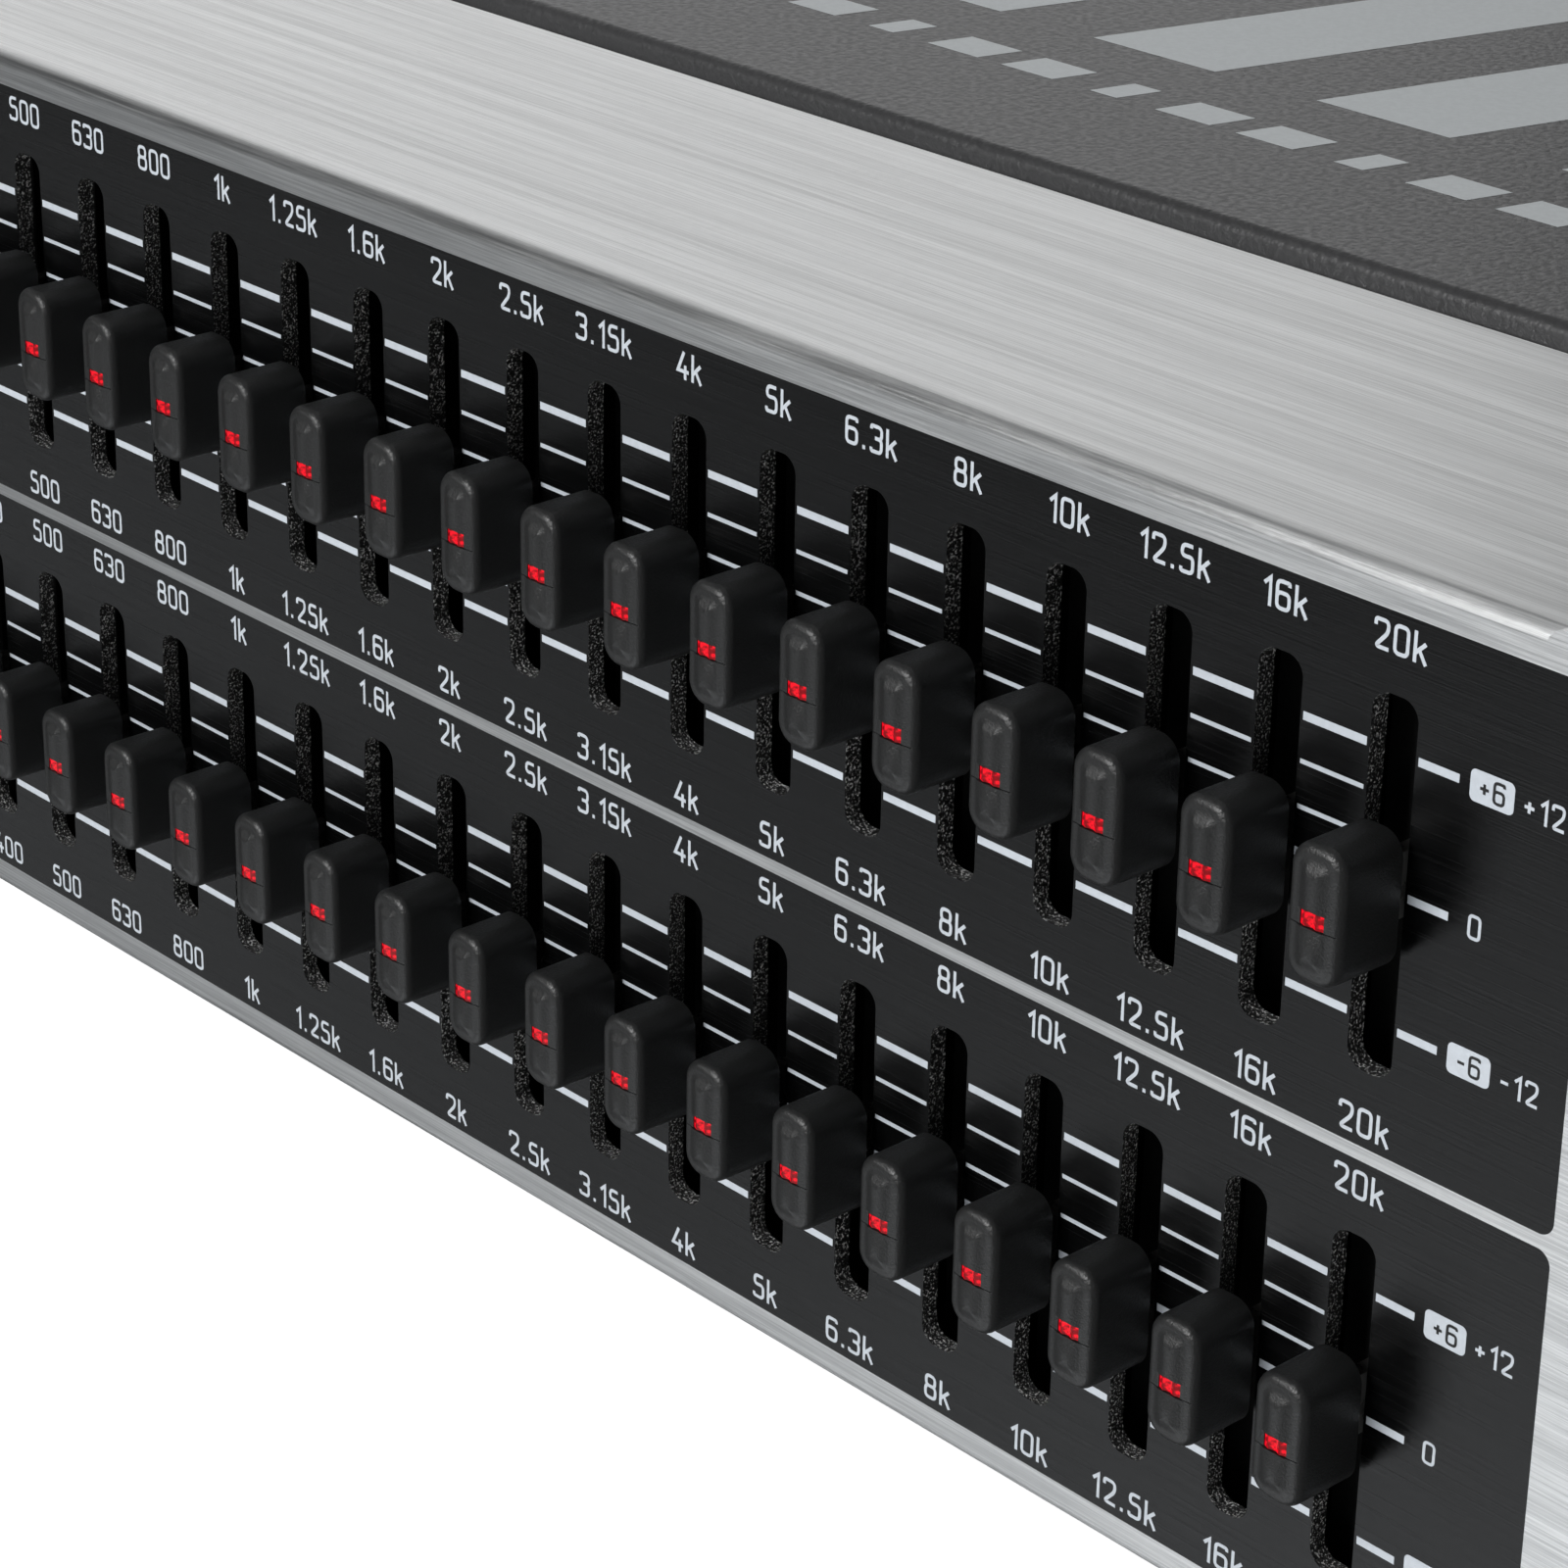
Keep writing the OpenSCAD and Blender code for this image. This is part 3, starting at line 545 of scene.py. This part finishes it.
class Print:
    """Collects quads of ink in one plane and makes them one thin, closed piece that faces out."""

    def __init__(self, place, out):
        self.place = place
        self.out = Vector(out)
        self.points = []
        self.faces = []
        self.layer = 0

    def quad(self, a, b, c, d):
        start = len(self.points)
        self.points += [self.place(p, self.layer) for p in (a, b, c, d)]
        self.faces.append((start, start + 1, start + 2, start + 3))

    def bar(self, x, z, w, h):
        left, right, low, high = x - w / 2, x + w / 2, z - h / 2, z + h / 2
        self.quad((left, low), (right, low), (right, high), (left, high))

    def fill(self, outline):
        start = len(self.points)
        self.points += [self.place(p, self.layer) for p in outline]
        self.faces.append(tuple(range(start, start + len(outline))))

    def stroke(self, path, width, closed):
        """A ribbon of constant width with mitred joints."""
        count = len(path)
        sides = []
        for i, point in enumerate(path):
            before = path[i - 1] if closed or i > 0 else None
            after = path[(i + 1) % count] if closed or i < count - 1 else None
            ways = []
            if before is not None and (point - before).length > 1e-9:
                ways.append((point - before).normalized())
            if after is not None and (after - point).length > 1e-9:
                ways.append((after - point).normalized())
            way = sum(ways, Vector((0, 0))).normalized()
            miter = Vector((-way.y, way.x))
            normal = Vector((-ways[0].y, ways[0].x))
            half = width / 2 / max(miter.dot(normal), 0.45)
            sides.append((point - miter * half, point + miter * half))
        for i in range(count if closed else count - 1):
            a, b = sides[i], sides[(i + 1) % count]
            self.quad(a[0], b[0], b[1], a[1])

    def text(self, words, x, z, height):
        """Strokes of a word, centred on x and z."""
        widths = [GLYPHS[letter][0] for letter in words]
        total = sum(widths) + GLYPH_SPACE * (len(words) - 1)
        pen = x - total * height / 2
        for letter, width in zip(words, widths):
            for layer, (points, radius, closed) in enumerate(GLYPHS[letter][1]):
                self.layer = layer
                path = [Vector((pen + p.x * height, z + (p.y - 0.5) * height))
                        for p in bent(points, radius, closed)]
                self.stroke(path, STROKE * height, closed)
            pen += (width + GLYPH_SPACE) * height
        self.layer = 0

    def make(self, name, material, body=HOUSING):
        mesh = mesh_from(name, self.points, self.faces)
        work = bmesh.new()
        work.from_mesh(mesh)
        bmesh.ops.remove_doubles(work, verts=work.verts, dist=0.0005 * MM)
        for face in work.faces:
            if face.normal.dot(self.out) < 0:
                face.normal_flip()
        work.to_mesh(mesh)
        work.free()
        piece = finish_piece(name, mesh, material, body)
        mesh.polygons.foreach_set("use_smooth", [False] * len(mesh.polygons))
        film = piece.modifiers.new("film", "SOLIDIFY")
        film.thickness = INK_DEPTH
        film.offset = -1.0
        return piece


INK_GAP = 0.02 * MM
LAYER_GAP = 0.006 * MM
INK_DEPTH = 0.015 * MM
TO_FRONT, TO_TOP = (0, -1, 0), (0, 0, 1)


def on_front(point, layer):
    return (point[0], FRONT_Y - INK_GAP - layer * LAYER_GAP, point[1])


def over_front(point, layer):
    return (point[0], FRONT_Y - 2 * INK_GAP - layer * LAYER_GAP, point[1])


def on_cover(point, layer):
    return (point[0], point[1], COVER_TOP_Z + INK_GAP + layer * LAYER_GAP)


# ---------------------------------------------------------------- camera, lights, floor

def place_camera():
    """The camera stands right of the front, above it, and looks along the rows to the low bands."""
    reference = Vector((LAST_X, FRONT_Y, ROW_Z["upper"]))
    from_reference = PITCH * Vector((17.0785, -20.9012, 12.6610))
    forward = Vector((-0.674598, 0.614274, -0.409372)).normalized()
    up = Vector((-0.313622, 0.263529, 0.912247)).normalized()
    right = forward.cross(up).normalized()
    up = right.cross(forward)
    data = bpy.data.cameras.new("camera")
    data.sensor_width = 36.0
    data.lens = 102.85
    data.clip_start = 0.01
    camera = bpy.data.objects.new("camera", data)
    bpy.context.scene.collection.objects.link(camera)
    turn = Matrix((right, up, -forward)).transposed().to_4x4()
    camera.matrix_world = Matrix.Translation(reference + from_reference) @ turn
    bpy.context.scene.camera = camera


def area_light(name, place, target, width, height, radiance):
    """A soft panel at place that faces target; radiance is how bright its face is."""
    data = bpy.data.lights.new(name, "AREA")
    data.shape = "RECTANGLE"
    data.size = width
    data.size_y = height
    data.energy = radiance * math.pi * width * height
    light = bpy.data.objects.new(name, data)
    light.visible_camera = False
    light.location = place
    light.rotation_euler = (Vector(target) - Vector(place)).to_track_quat("-Z", "Y").to_euler()
    bpy.context.scene.collection.objects.link(light)


# Name, place, target, width, height, radiance
LIGHTS = (
    ("key_front", (-0.15, -1.54, 0.82), (0.1, -0.1, 0.05), 0.7, 0.7, 16.5),
    ("backdrop", (-2.05, 1.1, 0.95), (0.0, 0.0, 0.05), 2.6, 1.5, 0.93),
    ("overhead", (0.0, 0.2, 1.9), (0.0, 0.0, 0.0), 1.6, 1.2, 0.45),
    ("rear_fill", (1.3, 1.6, 0.7), (0.0, 0.1, 0.05), 1.2, 0.8, 2.5),
)
# Direction, dot product at its edge and where it is full, brightness outside and inside
BRIGHT_AREAS = (
    ((-0.299, -0.641, -0.707), 0.893, 0.966, 0.07, 1.5),
    ((-0.769, -0.484, -0.440), 0.980, 0.999, 0.0, 0.52),
)


def place_lights():
    """The key light shines on the front; the others soften the shade behind, above and at the rear."""
    for light in LIGHTS:
        area_light(*light)
    bpy.context.scene.view_settings.view_transform = "Standard"


def make_world():
    """A dim grey studio with two soft bright areas low in front, which the glossy front mirrors."""
    world = bpy.data.worlds.new("studio")
    bpy.context.scene.world = world
    world.use_nodes = True
    tree = world.node_tree
    background = tree.nodes["Background"]
    background.inputs["Color"].default_value = (0.94, 0.97, 1.0, 1.0)
    way = tree.nodes.new("ShaderNodeTexCoord").outputs["Generated"]
    total = None
    for centre, edge_dot, full_dot, low, high in BRIGHT_AREAS:
        dot = tree.nodes.new("ShaderNodeVectorMath")
        dot.operation = "DOT_PRODUCT"
        dot.inputs[1].default_value = centre
        tree.links.new(way, dot.inputs[0])
        patch = tree.nodes.new("ShaderNodeMapRange")
        patch.interpolation_type = "SMOOTHSTEP"
        ends = {"From Min": edge_dot, "From Max": full_dot, "To Min": low, "To Max": high}
        for key, number in ends.items():
            patch.inputs[key].default_value = number
        tree.links.new(dot.outputs["Value"], patch.inputs["Value"])
        if total is None:
            total = patch.outputs[0]
            continue
        both = tree.nodes.new("ShaderNodeMath")
        tree.links.new(total, both.inputs[0])
        tree.links.new(patch.outputs[0], both.inputs[1])
        total = both.outputs[0]
    tree.links.new(total, background.inputs["Strength"])


def place_floor():
    """A wide pale floor just under the object, left out of glossy reflections."""
    size, z = 25.0, -0.5 * MM
    corners = [(-size, -size, z), (size, -size, z), (size, size, z), (-size, size, z)]
    mesh = mesh_from("floor", corners, [(0, 1, 2, 3)])
    mesh.materials.append(paper_floor())
    floor = bpy.data.objects.new("floor", mesh)
    bpy.context.scene.collection.objects.link(floor)
    floor.visible_glossy = False


# ---------------------------------------------------------------- faders

def cap_mesh():
    """One cap: a crowned block with the stepped groove across its face and the window's pocket."""
    face = -CAP_D
    rim = face + CROWN_H
    crown = []
    for i in range(1, CROWN_RINGS + 1):
        rise = (1 - math.cos(math.pi * i / CROWN_RINGS)) / 2
        crown.append((CAP_EDGE + CROWN_W * i / CROWN_RINGS, rim - CROWN_H * rise))
    block = pillow_mesh("cap_block", CAP_W, CAP_H, -CAP_GAP, rim, CAP_CORNER, CAP_EDGE, crown=crown)
    before = face - 1 * MM
    floor_y = face + GROOVE_D
    crack_y = floor_y + CRACK_D
    crack_z = GROOVE_LOW - CRACK_H
    brow_bend = (face + 0.35 * GROOVE_D, GROOVE_BROW + 0.7 * (GROOVE_TOP - GROOVE_BROW))
    groove_outline = [(before, GROOVE_BROW), (face, GROOVE_BROW), brow_bend, (floor_y, GROOVE_TOP),
                      (floor_y, GROOVE_LOW), (crack_y, GROOVE_LOW - 0.3 * CRACK_H), (crack_y, crack_z),
                      (face + GROOVE_RAMP_D, crack_z), (face, GROOVE_RAMP_END), (before, GROOVE_RAMP_END)]
    groove = prism_x("cap_groove", groove_outline, -GROOVE_HALF_W, GROOVE_HALF_W)
    pocket_y = floor_y + POCKET_D
    pocket_outline = [(before, LENS_TOP), (pocket_y, LENS_TOP),
                      (pocket_y, GROOVE_LOW), (before, GROOVE_LOW)]
    pocket = prism_x("cap_pocket", pocket_outline, -LENS_HALF_W, LENS_HALF_W)
    mesh = carved(block, groove, pocket)
    mesh.name = "fader_cap"
    return mesh


def lens_mesh():
    """The light window: two upright facets side by side, cut off level with the step."""
    w = LENS_HALF_W - LENS_GAP
    z0, z1 = GROOVE_LOW + LENS_GAP, LENS_TOP - LENS_GAP
    back = -CAP_D + GROOVE_D + 0.45 * MM
    front = -CAP_D + GROOVE_D - 0.12 * MM
    dip = -CAP_D + GROOVE_D + 0.10 * MM
    across = [(-w, dip), (-w * 0.5, front), (0.0, dip), (w * 0.5, front), (w, dip)]
    points = [(x, y, z) for z in (z0, z1) for x, y in across]
    points += [(-w, back, z0), (w, back, z0), (w, back, z1), (-w, back, z1)]
    faces = [(i, i + 1, i + 6, i + 5) for i in range(4)]
    faces += [(10, 11, 4, 3, 2, 1, 0), (13, 5, 6, 7, 8, 9, 12)]
    faces += [(10, 0, 5, 13), (4, 11, 12, 9), (11, 10, 13, 12)]
    return outward(mesh_from("fader_lens", points, faces))


def lever_mesh():
    """A flat steel lever with a wider carriage at its inner end."""
    half_w, half_h = LEVER_W / 2, LEVER_H / 2
    start = -CAP_GAP - 0.3 * MM
    neck = LEVER_END - 1.8 * MM
    wide_w, wide_h = 2.2 * MM, 2.9 * MM
    rings = ((start, half_w, half_h), (neck, half_w, half_h),
             (neck, wide_w, wide_h), (LEVER_END, wide_w, wide_h))
    points, faces = [], []
    for y, w, h in rings:
        points += [(-w, y, -h), (w, y, -h), (w, y, h), (-w, y, h)]
    for ring in range(3):
        for i in range(4):
            a, b = ring * 4 + i, ring * 4 + (i + 1) % 4
            faces.append((a, b, b + 4, a + 4))
    faces += [(3, 2, 1, 0), (12, 13, 14, 15)]
    return outward(mesh_from("fader_lever", points, faces))


def make_faders():
    cap, lens, lever = cap_mesh(), lens_mesh(), lever_mesh()
    for (key, _), x in zip(BANDS, BAND_X):
        body = "fader_" + key
        for row, z in ROW_Z.items():
            parts = (("cap", cap, MATERIALS["cap_plastic"], "cap_plastic"),
                     ("lens", lens, RED_LENS, None),
                     ("lever", lever, MATERIALS["plated_steel"], None))
            for kind, mesh, material, slot in parts:
                piece = finish_piece(f"fader_{kind}_{row}_{key}", mesh, material, body)
                piece.location = (x, FRONT_Y, z)
                if kind == "cap":
                    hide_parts(body)


# ---------------------------------------------------------------- print on the front

LABEL_OFFSET = 17.9 * MM
LABEL_H = 1.95 * MM
SCALE_END = 10.0 * MM
THICK_LINE, THIN_LINE = 0.64 * MM, 0.35 * MM
LINE_START = 2.25 * MM
END_LINE = 5.75 * MM


def print_scales():
    """Level lines between the slots, and the longer ones beside the first and last."""
    lines = Print(on_front, TO_FRONT)
    for z in ROW_Z.values():
        for step in range(-3, 4):
            height = THICK_LINE if step in (-3, 0, 3) else THIN_LINE
            at = z + step * SCALE_END / 3
            for left, right in zip(BAND_X, BAND_X[1:]):
                start, end = left + LINE_START, right - LINE_START
                lines.bar((start + end) / 2, at, end - start, height)
            if step in (-3, 0, 3):
                for edge, side in ((FIRST_X, -1), (LAST_X, 1)):
                    lines.bar(edge + side * (LINE_START + END_LINE) / 2, at, END_LINE - LINE_START, height)
    lines.make("scale_lines", PALE_INK)


def print_numbers():
    """Each band's frequency over and under both of its slots."""
    numbers = Print(on_front, TO_FRONT)
    for z in ROW_Z.values():
        for (_, label), x in zip(BANDS, BAND_X):
            for side in (-1, 1):
                numbers.text(label, x, z + side * LABEL_OFFSET, LABEL_H)
    numbers.make("frequency_numbers", PALE_INK)


def print_gain_scale():
    """Pale boxes with the small range's ends, and the large range's ends beside them."""
    box_x, box_w, box_h = 8.5 * MM, 3.7 * MM, 2.3 * MM
    far_x, zero_x, small = 12.8 * MM, 8.0 * MM, 1.6 * MM
    pale = Print(on_front, TO_FRONT)
    dark = Print(over_front, TO_FRONT)
    for z in ROW_Z.values():
        for edge, side in ((FIRST_X, -1), (LAST_X, 1)):
            pale.text("0", edge + side * zero_x, z, small)
            for sign, way in (("+", 1), ("-", -1)):
                at = z + way * SCALE_END
                outline = rounded_outline(box_w, box_h, 0.45 * MM, 6)
                pale.fill([(edge + side * box_x + px, at + pz) for px, pz in outline])
                dark.text(sign + "6", edge + side * box_x, at, small * 0.9)
                pale.text(sign + "12", edge + side * far_x, at, small)
    pale.make("gain_scale", PALE_INK)
    dark.make("gain_scale_boxed", BLACK_INK)


def print_control_marks():
    """Ticks around the level knobs, a dB scale beside each meter, and a line under each push button."""
    marks = Print(on_front, TO_FRONT)
    knob_r, ticks, first_angle, step_angle = 11.2 * MM, 11, 240, 30
    labels = (("+12", 8), ("0", 6), ("-12", 4), ("-24", 2))
    for z in ROW_Z.values():
        for i in range(ticks):
            angle = math.radians(first_angle - step_angle * i)
            way = Vector((math.cos(angle), math.sin(angle)))
            centre = Vector((KNOB_X, z))
            length = 2.2 * MM if i % 5 == 0 else 1.3 * MM
            marks.stroke([centre + way * knob_r, centre + way * (knob_r + length)], 0.35 * MM, False)
        for i in range(METER_SEGMENTS):
            marks.bar(METER_X + 5.2 * MM, segment_z(z, i), 1.6 * MM, 0.3 * MM)
        for text, i in labels:
            marks.text(text, METER_X + 9.0 * MM, segment_z(z, i), 1.3 * MM)
    for node in BUTTONS:
        x, z = centre_x(node), centre_z(node)
        marks.bar(x, z - 6.4 * MM, 9.0 * MM, 0.35 * MM)
    marks.make("control_marks", PALE_INK)


def print_cover_motif():
    """A generic row of level bars in place of lettering, with a row of short dashes before it."""
    motif = Print(on_cover, TO_TOP)
    slant = 0.22

    def leaning_bar(x, y, w, h):
        left, right, lean = x - w / 2, x + w / 2, slant * h
        motif.quad((left, y), (right, y), (right + lean, y + h), (left + lean, y + h))

    bar_y, bar_w, bar_step = COVER_FRONT_Y + 32 * MM, 15 * MM, 27 * MM
    for i, height in enumerate((26, 40, 58, 46, 64, 52, 36, 60, 44, 28)):
        leaning_bar(LAST_X - 14 * MM - i * bar_step, bar_y, bar_w, height * MM)
    dash_y, dash_h, dash_step = COVER_FRONT_Y + 19 * MM, 4.6 * MM, 9.4 * MM
    for i in range(30):
        dash_w = 6.4 * MM if i % 3 else 3.2 * MM
        leaning_bar(LAST_X - 4 * MM - i * dash_step, dash_y, dash_w, dash_h)
    motif.make("cover_motif", COVER_INK)


# ---------------------------------------------------------------- controls

def make_knobs():
    """Fluted level knobs with a pale pointer line."""
    radius, flutes, flute_depth = 8.4 * MM, 20, 0.055
    steps = ((0.0, 1.3), (0.0, 2.6), (0.3, 3.0), (1.2, 3.3), (1.5, 4.0),
             (1.9, 13.2), (2.1, 14.1), (2.6, 14.6), (3.4, 14.8), (3.6, 14.5))
    profile = [(radius - inset * MM, depth * MM) for inset, depth in steps]

    def fluted(angle, index):
        on_grip = 4 <= index <= 6
        return 1.0 - flute_depth * max(0.0, math.cos(flutes * angle)) if on_grip else 1.0

    knob = outward(revolved_mesh("level_knob", profile, 160, fluted))
    line = pillow_mesh("knob_pointer", 0.9 * MM, 4.2 * MM, 0.0, -0.35 * MM, 0.4 * MM, 0.15 * MM, 4, 3)
    for row, z in ROW_Z.items():
        body = "level_knob_" + row
        piece = finish_piece("knob_grip_" + row, knob, MATERIALS["knob_plastic"], body)
        piece.location = (KNOB_X, FRONT_Y, z)
        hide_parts(body)
        pointer = finish_piece("knob_pointer_" + row, line, PALE_INK, body)
        pointer.location = (KNOB_X, FRONT_Y - 14.5 * MM, z + 2.4 * MM)


def make_meter_lights():
    """Nine lit segments in each level meter."""
    w, h, back, front, corner, edge = (mm * MM for mm in (3.9, 1.7, 0.35, -0.3, 0.4, 0.25))
    segment = pillow_mesh("meter_segment", w, h, back, front, corner, edge, 4, 4)
    colours = [GREEN_LENS] * 6 + [AMBER_LENS] * 2 + [RED_LENS]
    meshes = {}
    for row, z in ROW_Z.items():
        for i, lens in enumerate(colours):
            mesh = meshes.setdefault(lens.name, segment.copy())
            piece = finish_piece(f"meter_segment_{row}_{i + 1}", mesh, lens, HOUSING)
            piece.location = (METER_X, FRONT_Y, segment_z(z, i))


def make_button_lights():
    """A small round light over each push button."""
    profile = ((1.45, -0.2), (1.45, 0.35), (1.2, 0.8), (0.7, 1.1), (0.2, 1.2))
    dome = turned("button_light", profile, 32)
    meshes = {}
    for node in BUTTONS:
        lens = RED_LENS if "bypass" in node else AMBER_LENS
        mesh = meshes.setdefault(lens.name, dome.copy())
        piece = finish_piece(node.replace("button", "light"), mesh, lens, HOUSING)
        piece.location = (centre_x(node), FRONT_Y, centre_z(node) + 7.2 * MM)


# ---------------------------------------------------------------- rear

def make_rear_details():
    """Plated pins, contact sleeves and flange screws of the rear connectors."""
    pin = turned("socket_pin", ((1.25, 0.0), (1.25, -10.5), (1.0, -11.6), (0.4, -12.0)), 24)
    contact = turned("contact_ring", ((1.28, 0.0), (1.28, -0.4), (1.0, -0.4)), 24)
    screw = turned("flange_screw", ((1.5, 1.0), (2.7, 0.0), (2.7, -0.3), (2.0, -0.75), (0.9, -0.9)), 32)
    pin_places = ((-3.8, 1.0), (3.8, 1.0), (0.0, -3.8))
    screw_places = ((-9.5, -12.0), (9.5, 12.0))
    sockets, with_pins = 4, 2
    face = REAR_Y + 2 * MM
    pin_y, contact_y = face - 15 * MM, face - 6.2 * MM
    sockets_low, sockets_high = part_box("xlr_sockets")
    half_flange = 13 * MM
    first, last = sockets_low[0] + half_flange, sockets_high[0] - half_flange
    z = (sockets_low[2] + sockets_high[2]) / 2
    for i in range(sockets):
        x = first + (last - first) * i / (sockets - 1)
        for k, (dx, dz) in enumerate(pin_places):
            if i < with_pins:
                kind, mesh, look, y = "socket_pin", pin, "plated_steel", pin_y
            else:
                kind, mesh, look, y = "contact_ring", contact, "brass_post", contact_y
            piece = finish_piece(f"{kind}_{i + 1}_{k + 1}", mesh, MATERIALS[look], HOUSING)
            piece.location = (x + dx * MM, y, z + dz * MM)
        for k, (dx, dz) in enumerate(screw_places):
            piece = finish_piece(f"flange_screw_{i + 1}_{k + 1}", screw, MATERIALS["screw_steel"], HOUSING)
            piece.location = (x + dx * MM, face, z + dz * MM)


# ---------------------------------------------------------------- build

CAD_LOOKS = {
    "front_panel": "brushed_front", "top_cover": "powder_coat", "chassis_tray": "powder_coat",
    "panel_screws": "screw_steel", "cover_screws": "black_screw", "front_board": "board",
    "fader_housings": "housing_shade_black", "pots_and_switches": "switch_body", "main_board": "board",
    "transformer": "winding_tape", "transformer_clamp": "plated_steel",
    "filter_capacitors": "capacitor_sleeve", "chips": "chip_body", "heat_sink": "heat_sink_metal",
    "standoffs": "brass_post", "ribbon_cables": "ribbon_jacket", "mains_inlet": "inlet_body",
    "power_switch_frame": "inlet_body", "power_rocker": "rocker_plastic",
    "xlr_sockets": "socket_shell", "phone_jacks": "jack_body", "jack_nuts": "plated_steel",
    "level_meters": "meter_bezel", "bypass_button_upper": "button_plastic",
    "bypass_button_lower": "button_plastic", "range_button": "button_plastic",
    "low_cut_button": "button_plastic", "level_knob_upper": "knob_plastic",
    "level_knob_lower": "knob_plastic",
}


def paint_cad_nodes():
    """Gives every CAD node its look; the replaced fader caps take the cap plastic."""
    # Else the metal lip would mirror the black cover behind it instead of the bright studio
    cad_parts["top_cover"].visible_glossy = False
    for name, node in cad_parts.items():
        look = CAD_LOOKS.get(name, "cap_plastic")
        for slot in node.material_slots:
            slot.material = MATERIALS[look]


place_camera()
place_lights()
make_world()
place_floor()
paint_cad_nodes()
make_faders()
print_scales()
print_numbers()
print_gain_scale()
print_control_marks()
print_cover_motif()
make_knobs()
make_meter_lights()
make_button_lights()
make_rear_details()
